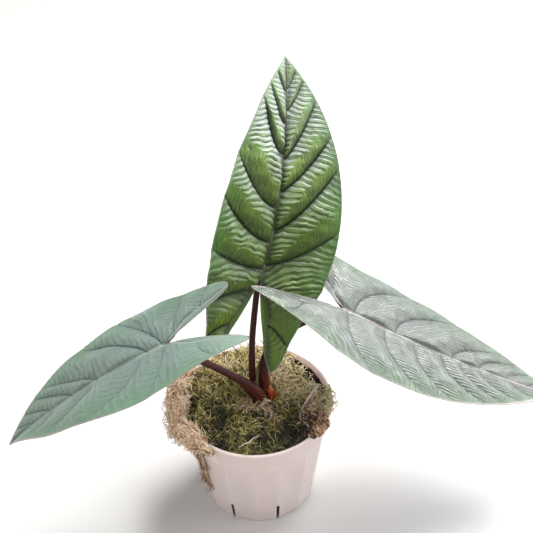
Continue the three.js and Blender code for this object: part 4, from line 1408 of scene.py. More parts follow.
def smooth_route(places, count):
    """A centripetal Catmull-Rom curve through the places, with evenly spaced points."""
    knots = np.array(places, float)
    knots = np.concatenate([[2 * knots[0] - knots[1]], knots, [2 * knots[-1] - knots[-2]]])
    line = []
    for a, b, c, d in zip(knots, knots[1:], knots[2:], knots[3:]):
        steps = [np.linalg.norm(end - start) ** 0.5 for start, end in ((a, b), (b, c), (c, d))]
        t = np.cumsum([0] + steps)
        now = np.linspace(t[1], t[2], 40, endpoint=False)[:, None]
        ab = on_the_way(a, b, t[0], t[1], now)
        bc = on_the_way(b, c, t[1], t[2], now)
        cd = on_the_way(c, d, t[2], t[3], now)
        abc, bcd = on_the_way(ab, bc, t[0], t[2], now), on_the_way(bc, cd, t[1], t[3], now)
        line.append(on_the_way(abc, bcd, t[1], t[2], now))
    line = np.concatenate(line + [knots[-2:-1]])
    reach = np.concatenate([[0], np.cumsum(np.linalg.norm(np.diff(line, axis=0), axis=1))])
    even = np.linspace(0, reach[-1], count)
    return np.stack([np.interp(even, reach, line[:, k]) for k in range(3)], axis=-1)


def carried_frames(line):
    """Two directions across the line at each point, carried along it without twisting."""
    run = np.gradient(line, axis=0)
    run /= np.linalg.norm(run, axis=1, keepdims=True)
    across = np.cross(run[0], [0.0, 1.0, 0.0])
    firsts = []
    for direction in run:
        across = across - direction * (across @ direction)
        across = across / np.linalg.norm(across)
        firsts.append(across)
    firsts = np.array(firsts)
    return run, firsts, np.cross(run, firsts)


def turn_angles(sides):
    return np.linspace(0, 2 * np.pi, sides, endpoint=False)


def stalk_mesh(line, radius):
    run, first, second = carried_frames(line)
    angle = turn_angles(radius.shape[1])[None, :, None]
    rays = first[:, None] * np.cos(angle) + second[:, None] * np.sin(angle)
    rings = line[:, None] + rays * radius[..., None]
    foot = line[0] - 0.1 * run[0]
    tip = line[-1] + 0.5 * radius[-1].mean() * run[-1]
    return closed_tube(rings, [foot, tip])


def with_ends(values):
    """Stored values of a tube's rings, with those of its two end points."""
    rows = {key: np.ravel(value) for key, value in values.items()}
    return {key: np.concatenate([row, [row[0], row[-1]]]) for key, row in rows.items()}


print("a route:", np.round(smooth_route([(0, 0, 0), (0, 0, 5), (3, 0, 9)], 4), 1).tolist())

# %% [markdown]
# Each stem has a route, radii along the way, and the places of its seam and lip. The right
# stem's sheath is the youngest, so it is still paler at its lip and redder on its outside; its
# lip is also raised to the brightest cream as painted light, where it lies in shade.

# %% The stems
STEM_SEAT = 2.8
STEM_OVERLAP = 3.5
STEM_SIDES = 28
STEM_RINGS = 110
STEM_SHAPES = {
    "left": dict(
        route=[(2.9, -3.6, 66), (2.1, -3.9, 77), (-4.6, -6, 90.5), (-15.6, -12, 107.6),
               (-26.2, -18.4, 122.8), (-36, -24.6, 137)],
        radii=[(0, 4.5), (0.12, 4.4), (0.2, 3.7), (0.3, 2.7), (0.42, 2.1), (1, 1.85)],
        sheath=0.40, seam=0.4, lip=(0.45, 0.2), pale=0.3, warm=0.3,
    ),
    "right": dict(
        route=[(5.4, 2.8, 66), (5, 3.2, 77), (4.6, 5.2, 89), (8, 8, 101.8), (18, 11, 113.4),
               (32.4, 13, 121.6)],
        radii=[(0, 4.2), (0.1, 4.3), (0.22, 4.0), (0.34, 2.7), (0.46, 2.1), (1, 1.85)],
        sheath=0.46, seam=-0.1, lip=(0.7, 0.34), pale=1.0, warm=1.0,
    ),
    "centre": dict(
        route=[(-0.8, 3.2, 66), (-1, 3.4, 77), (-1.4, 5, 88), (-0.8, 9, 108), (1, 13.2, 124), (3, 17, 138)],
        radii=[(0, 2.2), (0.15, 2.1), (0.4, 1.85), (1, 1.75)],
        sheath=0.2, seam=2.0, lip=(0.45, 0.2), pale=0.3, warm=0.2,
    ),
}


def stem_finish():
    finish = Finish("dark_maroon_stem", Roughness=0.4, Specular_IOR_Level=0.2)
    along = finish.stored("along")
    color = finish.ramp(along, (0.0, (0.085, 0.016, 0.009)), (0.22, (0.062, 0.012, 0.008)),
                        (0.5, (0.040, 0.011, 0.009)), (1.0, (0.048, 0.014, 0.012)))
    streak = finish.noise(0.8, detail=3, place=finish.stretched(1, 1, 0.12))
    color = finish.mix(finish.remap(streak, 0.4, 0.75, 0, 0.4), color, (0.15, 0.040, 0.024))
    blotch = finish.remap(finish.noise(3.2, detail=4), 0.45, 0.7, 0, 0.6)
    color = finish.mix(blotch, color, (0.018, 0.007, 0.008))
    color = finish.mix(finish.stored("warm"), color, (0.40, 0.085, 0.018))
    # A pale lip, raised to the brightest cream as painted light where it lies in shade
    color = finish.mix(finish.remap(finish.stored("lip"), 0.15, 0.8, 0, 1), color, (1.0, 0.84, 0.52))
    color = finish.mix(finish.stored("seam"), color, (0.008, 0.004, 0.004))
    finish.set(Base_Color=color)
    finish.set(Roughness=finish.remap(finish.noise(1.5), 0.3, 0.7, 0.36, 0.52))
    finish.bump(streak, 0.06, 0.5)
    return finish.material


def make_stem(name, finish):
    leaf, shape = LEAF_SHAPES[name], STEM_SHAPES[name]
    forward, _, up = leaf_axes(leaf)
    seat = np.array(leaf["sinus"]) - STEM_SEAT * up
    line = smooth_route([*shape["route"], seat - forward, seat + STEM_OVERLAP * forward], STEM_RINGS)
    share = np.linspace(0, 1, STEM_RINGS)[:, None]
    angle = turn_angles(STEM_SIDES)[None]
    from_seam = np.abs((angle - shape["seam"] + np.pi) % (2 * np.pi) - np.pi)
    sheath = 1 - smooth(share / shape["sheath"])
    seam = np.exp(-(from_seam / 0.16) ** 2) * sheath
    lip_place, lip_width = shape["lip"]
    lip = np.exp(-((from_seam - lip_place) / lip_width) ** 2) * sheath
    outside = np.clip(0.25 - np.cos(angle - 0.1), 0, 1) * (1 - smooth(share / 0.34))
    radius = np.interp(share, *zip(*shape["radii"]))
    radius = radius * (1 - 0.16 * seam + 0.10 * lip + 0.02 * np.sin(3 * angle + 9 * share))
    radius = radius * (1 - 0.25 * between(share, 0.97, 1))
    pale_lip = shape["pale"] * lip * between(share, 0.08, 0.2)
    warm = shape["warm"] * outside
    values = with_ends(dict(along=share + 0 * angle, seam=seam, lip=pale_lip, warm=warm))
    points, quads, caps = stalk_mesh(line, radius)
    stem = add_piece(name + "_stem_stalk", points, quads, finish, caps, values)
    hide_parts("stem_" + name)


maroon = stem_finish()
for stem_name in STEM_SHAPES:
    make_stem(stem_name, maroon)

# %% [markdown]
# Beside the stems stands the bud: the short waxy sheath of the next leaf, orange-red at the
# foot and paler toward its tip, wrapped once round so that one edge overlaps the other.

# %% The bud
BUD_FOOT = np.array((9.3, -2.2, 66))
BUD_TIP = np.array((8.3, -0.8, 83.5))
BUD_BELLY = (0.5, -0.3, 0)
BUD_RADII = [(0, 2.5), (0.45, 2.75), (0.62, 2.6), (0.8, 1.8), (0.92, 0.95), (1, 0.25)]
BUD_RINGS, BUD_SIDES = 60, 30


def bud_finish():
    finish = Finish("orange_red_bud", Roughness=0.25, Coat_Weight=0.5, Coat_Roughness=0.12,
                    Subsurface_Weight=0.2, Subsurface_Scale=0.002)
    color = finish.ramp(finish.stored("along"), (0.0, (0.10, 0.010, 0.006)), (0.5, (0.26, 0.014, 0.005)),
                        (0.72, (0.46, 0.040, 0.008)), (0.9, (0.64, 0.15, 0.03)), (1.0, (0.62, 0.34, 0.2)))
    streak = finish.noise(0.9, detail=3, place=finish.stretched(1, 1, 0.15))
    color = finish.mix(finish.remap(streak, 0.42, 0.75, 0, 0.4), color, (0.55, 0.10, 0.02))
    finish.set(Base_Color=finish.mix(finish.stored("fold"), color, (0.10, 0.015, 0.01)))
    finish.bump(streak, 0.06, 0.5)
    return finish.material


def make_bud():
    line = smooth_route([BUD_FOOT, (BUD_FOOT + BUD_TIP) / 2 + BUD_BELLY, BUD_TIP], BUD_RINGS)
    share = np.linspace(0, 1, BUD_RINGS)[:, None]
    angle = turn_angles(BUD_SIDES)[None]
    edge = 4.4 + 1.1 * share
    step = (angle - edge) % (2 * np.pi)
    fold = np.exp(-(np.minimum(step, 2 * np.pi - step) / 0.2) ** 2)
    radius = np.interp(share, *zip(*BUD_RADII)) * (1.05 - 0.05 * step / np.pi - 0.08 * fold)
    points, quads, caps = stalk_mesh(line, radius)
    values = with_ends(dict(along=share + 0 * angle, fold=0.7 * fold))
    bud = add_piece("next_leaf_bud", points, quads, bud_finish(), caps, values)
    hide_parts("bud")


make_bud()

# %% [markdown]
# Sphagnum fills the mouth of the pot. Up close it is a tangle of thin curled strands in
# tufts, with dark hollows between them. A lumpy bed comes first, so that nothing shows
# through, and thousands of strands grow out of it. The strands are real closed tubes with
# three sides: they stay meshes when the model is exported, which hair would not.

# %% The moss bed
MOSS_EDGE_HEIGHT = 70.3
MOSS_DOME = 4.2
MOSS_LUMP = 1.1
SUBSTRATE_TOP = 60
# Where the mat has drawn away from the wall: the gap's middle, half its angle, its width
GAP_BEARING, GAP_HALF_ANGLE, GAP_DEPTH = 118, 42, 5
BED_SPOKES, BED_RINGS = 260, 74


def moss_height(x, y):
    lumps = (np.sin(0.62 * x + 1.3 * np.sin(0.23 * y)) * np.cos(0.55 * y - 0.8)
             + 0.6 * np.sin(1.1 * x - 0.7 * y + 2) * np.cos(0.9 * y + 0.4 * x))
    share = np.hypot(x, y) / RIM_RADIUS
    return MOSS_EDGE_HEIGHT + MOSS_DOME * (1 - share ** 2) + MOSS_LUMP * lumps


def moss_edge(bearing):
    """How far out the mat reaches."""
    away = np.abs((bearing - GAP_BEARING + 180) % 360 - 180)
    return inside_radius(MOSS_EDGE_HEIGHT) - 0.6 - GAP_DEPTH * (1 - smooth(away / GAP_HALF_ANGLE))


def moss_bed_mesh():
    bearing = np.linspace(0, 360, BED_SPOKES, endpoint=False)
    share = np.linspace(1, 0.01, BED_RINGS)[:, None]
    top = at_bearing(bearing, share * moss_edge(bearing), 0.0)
    x, y = top[..., 0], top[..., 1]
    top[..., 2] = moss_height(x, y) - 2.6 * between(share, 0.9, 1.0) - 0.6
    top[..., 2] += 0.55 * wavy(71, 2.6, x, y) + 0.3 * wavy(72, 1.2, x, y)
    floor = SUBSTRATE_TOP + 0.3
    foot = at_bearing(bearing, np.minimum(moss_edge(bearing), inside_radius(SUBSTRATE_TOP) - 0.5), floor)
    return closed_tube(np.concatenate([foot[None], top]), [(0, 0, floor), top[-1].mean(axis=0)])


def moss_bed_finish():
    finish = Finish("shaded_moss_bed", Roughness=0.95, Sheen_Weight=0.2)
    fibre = finish.noise(0.55, detail=4, rough=0.7, warp=1.5)
    color = finish.ramp(finish.noise(7, detail=4), (0.3, (0.012, 0.014, 0.005)),
                        (0.5, (0.035, 0.038, 0.010)), (0.7, (0.085, 0.06, 0.022)))
    finish.set(Base_Color=finish.mix(finish.remap(fibre, 0.5, 0.75), color, (0.15, 0.14, 0.05)))
    finish.bump(fibre, 0.8, 0.9)
    return finish.material


bed_points, bed_quads, bed_caps = moss_bed_mesh()
moss_bed = add_piece("moss_bed", bed_points, bed_quads, moss_bed_finish(), bed_caps)
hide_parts("moss_mat")

# %% [markdown]
# A strand of moss grows a step at a time, and at each step its heading turns and droops a
# little. All strands of a piece take their steps together, as rows of one array.

# %% Grow strands


def grow_strands(rng, roots, headings, lengths, curl, droop, steps=6):
    """Centre lines of strands that start at the roots and curl as they run on."""
    count = len(roots)
    heading = headings / np.linalg.norm(headings, axis=1, keepdims=True)
    axis = np.cross(heading, rng.normal(size=(count, 3)))
    axis /= np.linalg.norm(axis, axis=1, keepdims=True)
    turn = (curl * rng.uniform(0.35, 1.5, count) / steps)[:, None]
    stride = (lengths / steps)[:, None]
    line = [roots]
    for _ in range(steps):
        line.append(line[-1] + heading * stride)
        turned = heading * np.cos(turn) + np.cross(axis, heading) * np.sin(turn)
        heading = turned + [0, 0, -droop]
        heading /= np.linalg.norm(heading, axis=1, keepdims=True)
        axis = axis + 0.45 * rng.normal(size=(count, 3))
        axis -= heading * (axis * heading).sum(axis=1, keepdims=True)
        axis /= np.linalg.norm(axis, axis=1, keepdims=True)
    return np.stack(line, axis=1)


# The three sides of a strand, a third of a turn apart
STRAND_ANGLES = (0, 2.094, 4.189)


def strand_mesh(lines, thickness):
    """Closed three-sided tubes that taper to both ends of each line."""
    count, places, _ = lines.shape
    run = np.gradient(lines, axis=1)
    run /= np.maximum(np.linalg.norm(run, axis=2, keepdims=True), 1e-9)
    first = np.cross(run, np.array([0.31, 0.17, 0.93]))
    first /= np.maximum(np.linalg.norm(first, axis=2, keepdims=True), 1e-9)
    second = np.cross(run, first)
    share = np.linspace(0, 1, places)
    taper = (0.45 + 0.55 * np.sin(np.pi * np.clip(share * 0.9 + 0.08, 0, 1)))[None, :, None]
    size = thickness[:, None, None] * taper
    sides = [lines + size * (first * math.cos(a) + second * math.sin(a)) for a in STRAND_ANGLES]
    points = np.stack(sides, axis=2).reshape(-1, 3)
    root = (np.arange(count) * places * 3)[:, None]
    end = root + (places - 1) * 3
    quads = root + grid_quads(places, 3, closed=True).ravel()
    caps = np.concatenate([root + [[2, 1, 0]], end + [[0, 1, 2]]])
    return points, quads.reshape(-1, 4), caps


def add_strands(name, lines, thickness, tone, finish):
    """One piece of strands, each with a thickness and with a tone for its colour."""
    points, quads, caps = strand_mesh(lines, thickness)
    count, places, _ = lines.shape
    along = np.tile(np.repeat(np.linspace(0, 1, places), 3), count)
    stored = dict(tone=np.repeat(tone, places * 3), along=along)
    add_piece(name, points, quads, finish, caps, stored)


print("triangles in a strand of six steps:", 6 * 3 * 2 + 2)

# %% [markdown]
# Fresh sphagnum is olive, and bleaches to straw where it dries. So a strand's colour comes
# from its tone, along a ramp, and its root is darker, because light hardly gets down there.

# %% Moss finishes
GREEN_TONES = [(0.0, (0.008, 0.009, 0.003)), (0.22, (0.078, 0.070, 0.015)), (0.46, (0.29, 0.27, 0.072)),
               (0.65, (0.76, 0.63, 0.18)), (0.82, (0.92, 0.74, 0.34)), (1.0, (0.97, 0.86, 0.60))]
TAN_TONES = [(0.0, (0.05, 0.020, 0.009)), (0.28, (0.36, 0.18, 0.095)), (0.5, (0.80, 0.50, 0.31)),
             (0.8, (0.95, 0.70, 0.47)), (1.0, (0.98, 0.84, 0.64))]
BROWN_TONES = [(0.0, (0.012, 0.005, 0.003)), (0.38, (0.12, 0.034, 0.016)), (0.6, (0.80, 0.43, 0.25)),
               (1.0, (0.97, 0.78, 0.54))]


def strand_finish(name, tones, root):
    finish = Finish(name, Roughness=0.62, Sheen_Weight=0.15, Sheen_Roughness=0.5)
    darkest = tones[0][1]
    dim = finish.remap(finish.stored("tone"), 0.45, 0.85, 1, 0.4)
    at_root = finish.math("MULTIPLY", finish.remap(finish.stored("along"), 0.0, 0.7, root, 0), dim)
    color = finish.mix(at_root, finish.ramp(finish.stored("tone"), *tones), darkest)
    patchy = finish.remap(finish.noise(0.9, detail=2), 0.35, 0.7, 0, 0.4 * root)
    finish.set(Base_Color=finish.mix(finish.math("MULTIPLY", patchy, dim), color, darkest))
    finish.set(Roughness=finish.remap(finish.noise(2), 0.3, 0.7, 0.5, 0.75))
    finish.bump(finish.noise(0.3, detail=2), 0.05, 0.6)
    return finish.material


green_strands = strand_finish("green_moss_strands", GREEN_TONES, root=0.85)
tan_strands = strand_finish("tan_moss_strands", TAN_TONES, root=0.45)
brown_strands = strand_finish("brown_moss_strands", BROWN_TONES, root=0.6)
print("moss finishes:", green_strands.name, tan_strands.name, brown_strands.name)

# %% [markdown]
# Tufts are set over the mat by throwing places at random and keeping those that are far
# enough from each other, from the wall and from the stems. The mat is painted palest toward the
# back right as painted light, and a few soft round patches are bleached or dark; the brightest,
# at the right, is painted light and the darkest, beside the brown clump, painted shade.

# %% Tufts over the mat
TUFTS, TUFT_GAP, STRANDS_PER_TUFT = 165, 4.4, 31
# The feet of the stems and of the bud, as x, y and the distance that tufts keep
STEM_FEET = [(4.5, 0.5, 4.6), (9.8, -3.0, 5.0)]
# Patches as x, y, width and how much lighter or darker they are; the first is painted light and the last
# painted shade
MOSS_PATCHES = [(29, 1, 15, 0.32), (-22, 4, 12, 0.11), (-4, -27, 13, -0.06), (20, -27, 9, -0.28)]


def tuft_places(rng):
    places = []
    while len(places) < TUFTS:
        bearing, radius = rng.uniform(0, 360), 41.5 * math.sqrt(rng.uniform())
        spot = at_bearing(bearing, radius, 0.0)[:2]
        on_edge = radius > moss_edge(bearing) - 0.8
        at_stem = any(np.hypot(spot[0] - x, spot[1] - y) < clear for x, y, clear in STEM_FEET)
        crowded = any(np.hypot(*(spot - place)) < TUFT_GAP for place in places)
        if not (on_edge or at_stem or crowded):
            places.append(spot)
    return np.array(places)


def at_radius(lines, wanted):
    """Moves points level, in or out, to the wanted distance from the pot's axis."""
    radius = np.hypot(lines[..., 0], lines[..., 1])
    scale = (wanted / np.maximum(radius, 1e-6))[..., None]
    return np.concatenate([lines[..., :2] * scale, lines[..., 2:]], axis=-1)


def keep_in_pot(lines, gap=0.35):
    """Draws points back that reach past the wall, or far over the gap at the back right."""
    radius = np.hypot(lines[..., 0], lines[..., 1])
    bearing = np.degrees(np.arctan2(lines[..., 0], -lines[..., 1]))
    limit = np.minimum(inside_radius(lines[..., 2]) - gap, moss_edge(bearing) + 0.5)
    return at_radius(lines, np.minimum(radius, limit))


def over_open_gap(x, y):
    bearing = np.degrees(np.arctan2(x, -y))
    return (np.abs(bearing - GAP_BEARING) < 30) & (moss_edge(bearing) - np.hypot(x, y) < 3.4)


def green_tufts():
    rng = np.random.default_rng(5)
    tufts = tuft_places(rng)
    count = TUFTS * STRANDS_PER_TUFT
    angle = rng.uniform(0, 2 * np.pi, count)
    out = np.stack([np.cos(angle), np.sin(angle)], axis=-1)
    spot = np.repeat(tufts, STRANDS_PER_TUFT, axis=0) + out * rng.uniform(0.1, 2.0, (count, 1))
    x, y = spot.T
    roots = np.concatenate([spot, (moss_height(x, y) - 1.0)[:, None]], axis=1)
    tilt = np.radians(rng.uniform(15, 75, count))[:, None]
    headings = np.concatenate([out * np.sin(tilt), np.cos(tilt)], axis=1)
    lines = keep_in_pot(grow_strands(rng, roots, headings, rng.uniform(5, 13, count), curl=2.3, droop=0.16))
    # Painted light: the tone rises toward the back right, where the light falls on the mat
    sunny = between(0.5 * x + 0.87 * y, -18, 22)
    thickness = rng.uniform(0.20, 0.44, count) * (0.7 + 0.3 * sunny)
    warm = between(wavy(91, 16, x, y), 0.1, 0.7)
    patches = sum(change * np.exp(-((x - px) ** 2 + (y - py) ** 2) / wide ** 2)
                  for px, py, wide, change in MOSS_PATCHES)
    uneven = rng.normal(size=count) * (0.10 + 0.10 * sunny)
    uneven = uneven + np.repeat(rng.normal(size=TUFTS) * 0.19, STRANDS_PER_TUFT)
    tone = np.clip(0.345 + 0.47 * sunny + 0.14 * warm + patches + uneven, 0, 1)
    kept = ~over_open_gap(x, y)
    add_strands("moss_tufts", lines[kept], thickness[kept], tone[kept], green_strands)


green_tufts()

# %% [markdown]
# Some of the moss lies loose: bleached tufts, mostly in front of the stems, dark shreds beside
# the small clump at the right, and more in the gap where the mat has shrunk from the wall,
# where they are near black as painted shade.

# %% Loose tufts and litter
# Tufts as x, y, spread and number of strands
DRY_TUFTS = [(-7.4, -9.0, 1.82, 44), (-4.4, -10.2, 1.4, 26), (2.2, -9.4, 1.33, 34), (5.4, -12.2, 1.54, 38),
             (8.6, -17.6, 1.33, 30), (12.6, 8.0, 1.12, 22), (31.0, -12.5, 1.54, 34)]
BROWN_TUFTS = [(29.0, -23.0, 2.4, 75), (32.5, -19.5, 2.4, 75), (35.0, -15.5, 2.4, 75),
               (30.5, -20.5, 2.4, 75)]
GAP_SHREDS = 420


def loose_tufts(rng, tufts, heights, lengths, curl, droop):
    x, y, spread, counts = (np.array(column) for column in zip(*tufts))
    flat = np.repeat(np.stack([x, y], axis=-1), counts, axis=0)
    flat = flat + rng.normal(size=flat.shape) * np.repeat(spread, counts)[:, None]
    lift = rng.uniform(*heights, len(flat))
    roots = np.concatenate([flat, (moss_height(*flat.T) + lift)[:, None]], axis=1)
    headings = rng.normal(size=roots.shape) * (1, 1, 0.6)
    return grow_strands(rng, roots, headings, rng.uniform(*lengths, len(roots)), curl, droop)


def random_tones(rng, middle, spread, count):
    return np.clip(middle + spread * rng.normal(size=count), 0, 1)


def dry_tufts():
    rng = np.random.default_rng(31)
    lines = loose_tufts(rng, DRY_TUFTS, (1.2, 3.6), (3.5, 8), curl=3.4, droop=0.05)
    tone = random_tones(rng, 0.82, 0.2, len(lines))
    add_strands("dry_moss_tufts", lines, rng.uniform(0.28, 0.55, len(lines)), tone, tan_strands)


def gap_litter():
    rng = np.random.default_rng(33)
    bearing = GAP_BEARING + rng.uniform(-GAP_HALF_ANGLE, GAP_HALF_ANGLE, GAP_SHREDS)
    inner, outer = moss_edge(bearing) - 1.0, inside_radius(66) - 0.6
    radius = inner + (outer - inner) * rng.uniform(0, 1, GAP_SHREDS)
    roots = at_bearing(bearing, radius, rng.uniform(63, 67, GAP_SHREDS))
    headings = rng.normal(size=roots.shape)
    lines = grow_strands(rng, roots, headings, rng.uniform(3, 7, GAP_SHREDS), curl=2.6, droop=0.1)
    limit = inside_radius(lines[..., 2]) - 0.4
    lines = at_radius(lines, np.minimum(np.hypot(lines[..., 0], lines[..., 1]), limit))
    lines[..., 2] = np.clip(lines[..., 2], 61, 69.4)
    # Painted shade: the shreds in the gap are near black, for the shade down there
    tone = random_tones(rng, 0.12, 0.14, GAP_SHREDS)
    add_strands("gap_litter", lines, rng.uniform(0.3, 0.7, GAP_SHREDS), tone, brown_strands)


def brown_patch():
    rng = np.random.default_rng(35)
    lines = keep_in_pot(loose_tufts(rng, BROWN_TUFTS, (1.0, 3.4), (3, 8), curl=3.0, droop=0.06))
    tone = random_tones(rng, 0.46, 0.42, len(lines))
    thickness = rng.uniform(0.25, 0.55, len(lines))
    add_strands("brown_moss_patch", lines, thickness, tone, brown_strands)


dry_tufts()
gap_litter()
brown_patch()

# %% [markdown]
# At the left a mat of dry tan moss hangs over the rim and trails down the wall, and a small
# dark tuft sits on the rim at the right. Each has a lumpy core that hugs the collar, covered
# with strands that are combed roughly downward, as wet moss dries.

# %% Clumps over the rim
# From start to end along the rim. A dip is where the clump sags lower over the rim.
LEFT_CLUMP = dict(start=-36, end=-128, radius=45.0, z=70.3, wide=6.0, tall=7.4, dip=0.36)
RIGHT_CLUMP = dict(start=44, end=67, radius=42.9, z=73.2, wide=3.3, tall=2.9, dip=None)
RIM_FLUFF = dict(start=66, end=99, radius=41.6, z=72.6, wide=2.6, tall=2.4, dip=None)
WALL_PROFILE = [(0, FOOT_RADIUS), (COLLAR_BOTTOM, 41.95), (COLLAR_BOTTOM + 0.2, 42.5),
                (POT_HEIGHT, RIM_RADIUS)]
CORE_STEPS, CORE_SIDES = 130, 40


def wall_radius(z):
    heights, radii = zip(*WALL_PROFILE)
    return np.interp(z, heights, radii)


def clump_place(clump, share, angle, grow=1.0):
    """Bearing, radius and height on a clump. The angle is 0 outward and a quarter turn on top."""
    size = grow * (0.25 + 0.75 * np.sin(np.pi * np.clip(share, 0, 1)) ** 0.6)
    dip = 0 if clump["dip"] is None else np.exp(-((share - clump["dip"]) / 0.075) ** 2)
    bearing = clump["start"] + (clump["end"] - clump["start"]) * share + 0 * angle
    out = clump["radius"] + clump["wide"] * size * np.cos(angle) + 1.2 * dip
    z = clump["z"] + clump["tall"] * size * np.sin(angle) * (1 - 0.45 * dip) - 4 * dip
    on_rim = z < POT_HEIGHT + 0.3
    return bearing, np.where(on_rim, np.maximum(out, wall_radius(z) + 0.35), out), z


def clump_core(name, clump, finish, seed, node):
    share = np.linspace(0.01, 0.99, CORE_STEPS)[:, None]
    angle = turn_angles(CORE_SIDES)[None]
    lumps = 0.86 + 0.16 * wavy(seed, 1.1, 9 * share + 0 * angle, np.cos(angle), np.sin(angle))
    rings = at_bearing(*clump_place(clump, share, angle, lumps))
    rings[..., 2] += 0.45 * wavy(seed + 1, 1.7, rings[..., 0], rings[..., 1], rings[..., 2])
    points, quads, caps = closed_tube(rings, [rings[0].mean(axis=0), rings[-1].mean(axis=0)])
    if clump["end"] < clump["start"]:
        quads, caps = quads[:, ::-1], caps[:, ::-1]
    core = add_piece(name, points, quads, finish, caps)
    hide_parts(node)


def core_finish(name, dark, middle, light):
    finish = Finish(name, Roughness=0.95, Sheen_Weight=0.2)
    fibre = finish.noise(0.6, detail=4, rough=0.7, warp=1.6)
    color = finish.ramp(finish.noise(4, detail=4), (0.3, dark), (0.55, middle), (0.75, light))
    finish.set(Base_Color=finish.mix(finish.remap(fibre, 0.5, 0.72), color, light))
    finish.bump(fibre, 0.9, 0.9)
    return finish.material


tan_core = core_finish("tan_moss_core", (0.04, 0.018, 0.009), (0.13, 0.07, 0.035), (0.34, 0.22, 0.12))
brown_core = core_finish("brown_moss_core", (0.014, 0.007, 0.004), (0.04, 0.018, 0.010), (0.10, 0.055, 0.03))
clump_core("left_clump_core", LEFT_CLUMP, tan_core, 301, "moss_clump_left")
clump_core("right_clump_core", RIGHT_CLUMP, brown_core, 311, "moss_clump_right")

# %% [markdown]
# The strands of a clump are laid along the rim and round the core, and only then bent into
# space, so they follow it. The pale fluff at the right is laid the same way, with no core.

# %% Strands of the clumps


def keep_off_pot(lines, gap=0.3):
    radius = np.hypot(lines[..., 0], lines[..., 1])
    z = lines[..., 2]
    outside = wall_radius(z) + gap
    in_wall = (z < POT_HEIGHT + gap) & (radius < outside) & (radius > inside_radius(z) - gap)
    return at_radius(lines, np.where(in_wall, outside, radius))


def clump_strands(name, clump, seed, count, finish, lengths, loose, pale, sizes, low=-0.35):
    """Strands combed down and around a clump. low is how far down they start, in half turns."""
    rng = np.random.default_rng(seed)
    places = 7
    step = rng.uniform(*lengths, (count, 1)) / (places - 1)
    heading = rng.normal(-1.1, 0.9, (count, 1)) + np.linspace(0, 1, places) * rng.normal(0, 1.3, (count, 1))
    arc = math.radians(abs(clump["end"] - clump["start"])) * clump["radius"]
    share = rng.uniform(0.0, 1.0, (count, 1)) + np.cumsum(step * np.cos(heading), axis=1) / arc
    angle = rng.uniform(low * np.pi, np.pi, (count, 1))
    patch = 0.26 * wavy(seed, 7, share[:, 0] * arc, angle[:, 0] * clump["tall"])
    tone = random_tones(rng, pale + patch + 0.2 * np.sin(angle[:, 0]), 0.3, count)
    angle = angle + np.cumsum(step * np.sin(heading), axis=1) / clump["tall"]
    lift = loose * rng.uniform(0, 1, (count, 1)) ** 2 * np.linspace(0, 1, places) ** 1.5
    grow = rng.uniform(0.82, 1.04, (count, 1)) + lift / clump["tall"]
    lines = keep_off_pot(at_bearing(*clump_place(clump, np.clip(share, -0.03, 1.03), angle, grow)))
    add_strands(name, lines, rng.uniform(*sizes, count), tone, finish)


clump_strands("left_clump_strands", LEFT_CLUMP, 7, 2600, tan_strands,
              (5, 14), loose=7, pale=0.70, sizes=(0.16, 0.36))
clump_strands("right_clump_strands", RIGHT_CLUMP, 8, 460, brown_strands,
              (3, 6), loose=2.6, pale=0.44, sizes=(0.2, 0.45), low=-0.05)
clump_strands("rim_fluff", RIM_FLUFF, 9, 300, green_strands,
              (4, 9), loose=5, pale=0.95, sizes=(0.2, 0.42))

# %% [markdown]
# From the left clump long fibres hang down the outside of the wall, and some have matted into
# knots. Each stands off the wall by a millimetre or two, so that it throws a thin shadow.

# %% Fibres down the wall
# Trails as bearing, length and number of fibres, and knots as bearing, height and number
TRAILS = [(-50, 44, 24), (-55, 30, 12), (-66, 25, 22), (-84, 12, 12), (-103, 10, 12)]
KNOTS = [(-51, 61, 110), (-49, 46, 60), (-52, 33, 90), (-50, 25, 50), (-66, 54, 50)]
TRAIL_POINTS = 13


def trailing_wisps():
    rng = np.random.default_rng(19)
    drop = np.linspace(0, 1, TRAIL_POINTS)
    lines, tones, sizes = [], [], []
    for bearing, length in [(bearing, length) for bearing, length, count in TRAILS for _ in range(count)]:
        reach = length * rng.uniform(0.45, 1.0)
        start = bearing + rng.normal() * 2.2
        z = LEFT_CLUMP["z"] - 3 - reach * drop
        sway = np.cumsum(rng.normal(size=TRAIL_POINTS)) * 0.28 + rng.normal() * 0.8 * drop
        lift = 0.7 + 1.6 * rng.uniform() + 0.6 * np.sin(drop * rng.uniform(4, 9) + rng.uniform(0, 6))
        lines.append(at_bearing(start + sway, wall_radius(z) + lift, z))
        tones.append(random_tones(rng, 0.36, 0.24, None))
        sizes.append(rng.uniform(0.12, 0.26))
    add_strands("trailing_wisps", np.array(lines), np.array(sizes), np.array(tones), tan_strands)


def caught_knots():
    rng = np.random.default_rng(20)
    roots, tones = [], []
    for bearing, middle in [(bearing, middle) for bearing, middle, count in KNOTS for _ in range(count)]:
        z = middle + rng.normal() * 1.7
        bearing = bearing + rng.normal() * 1.9
        roots.append(at_bearing(bearing, wall_radius(z) + rng.uniform(0.5, 2.0), z))
        tones.append(random_tones(rng, 0.33, 0.22, None))
    roots = np.array(roots)
    headings = rng.normal(size=roots.shape)
    lines = grow_strands(rng, roots, headings, rng.uniform(2, 5.5, len(roots)), curl=3.0, droop=0.1)
    thickness = rng.uniform(0.12, 0.25, len(roots))
    add_strands("caught_knots", keep_off_pot(lines), thickness, np.array(tones), tan_strands)


trailing_wisps()
caught_knots()

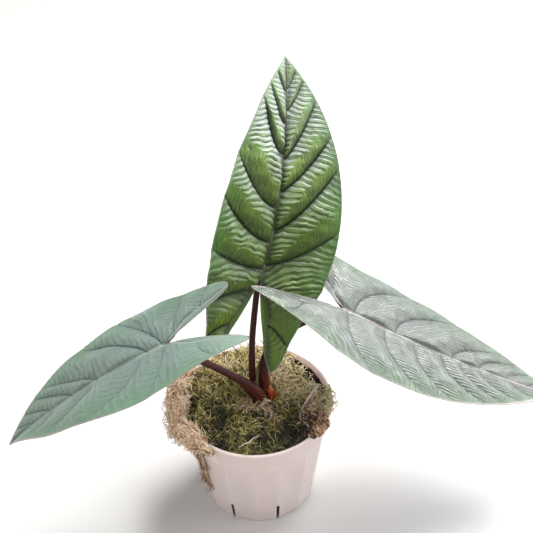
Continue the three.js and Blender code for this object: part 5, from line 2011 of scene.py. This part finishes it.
# %% [markdown]
# A few loose things lie on top: a bare pale root that crosses the moss at the right, and
# some straws of dry moss. They are thin, but they break up the green and catch the light.

# %% The bare root and the loose straws
ROOT_RINGS, ROOT_SIDES = 70, 10
ROOT_BODY = 0.65
BARE_ROOT = [(36.2, 4, 4.4), (31.4, -5, 5.4), (27.6, -11.5, 5.4), (25, -19, 4.6)]
STRAWS = {
    "straw_front": ([(-10.2, -38.3, 3.4), (-4.5, -35.4, 3.6), (-1.6, -32.2, 3.6), (2.1, -30.3, 3.0)], 0.34),
    "straw_back": ([(9.6, 15.5, 3.4), (12.2, 16.6, 3.8), (14.9, 19, 3.8), (17.2, 20.6, 3.2)], 0.36),
    "straw_left": ([(-33, 6, 2.0), (-29, 9, 2.4), (-26, 8, 2.2), (-22, 11, 1.6)], 0.28),
}


def dry_root_finish():
    finish = Finish("bare_dry_root", Roughness=0.7)
    streak = finish.noise(0.7, detail=4)
    finish.set(Base_Color=finish.mix(streak, (0.52, 0.36, 0.31), (0.94, 0.82, 0.78)))
    finish.bump(streak, 0.12, 0.8)
    return finish.material


def thin_root(name, places, size, finish, foot=ROOT_BODY):
    """A knobbly thin root. foot is how thick it is where it starts, beside its body."""
    line = smooth_route([(x, y, moss_height(x, y) + lift) for x, y, lift in places], ROOT_RINGS)
    x, y = line[:, 0], line[:, 1]
    line = line + 0.28 * np.stack([wavy(41, 4, x, y), wavy(42, 5, x, y), wavy(43, 4, x, y)], axis=-1)
    share = np.linspace(0, 1, ROOT_RINGS)[:, None]
    knobbly = 0.35 * np.sin(np.pi * share) + 0.12 * np.sin(31 * share)
    radius = size * (ROOT_BODY + (foot - ROOT_BODY) * (1 - share) ** 1.5 + knobbly)
    points, quads, caps = stalk_mesh(line, np.repeat(radius, ROOT_SIDES, axis=1))
    return add_piece(name, points, quads, finish, caps)


dry_root = dry_root_finish()
root_piece = thin_root("bare_root", BARE_ROOT, 0.56, dry_root, foot=1.35)
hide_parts("twig")
for straw_name, (places, size) in STRAWS.items():
    thin_root(straw_name, places, size, dry_root)

# %% [markdown]
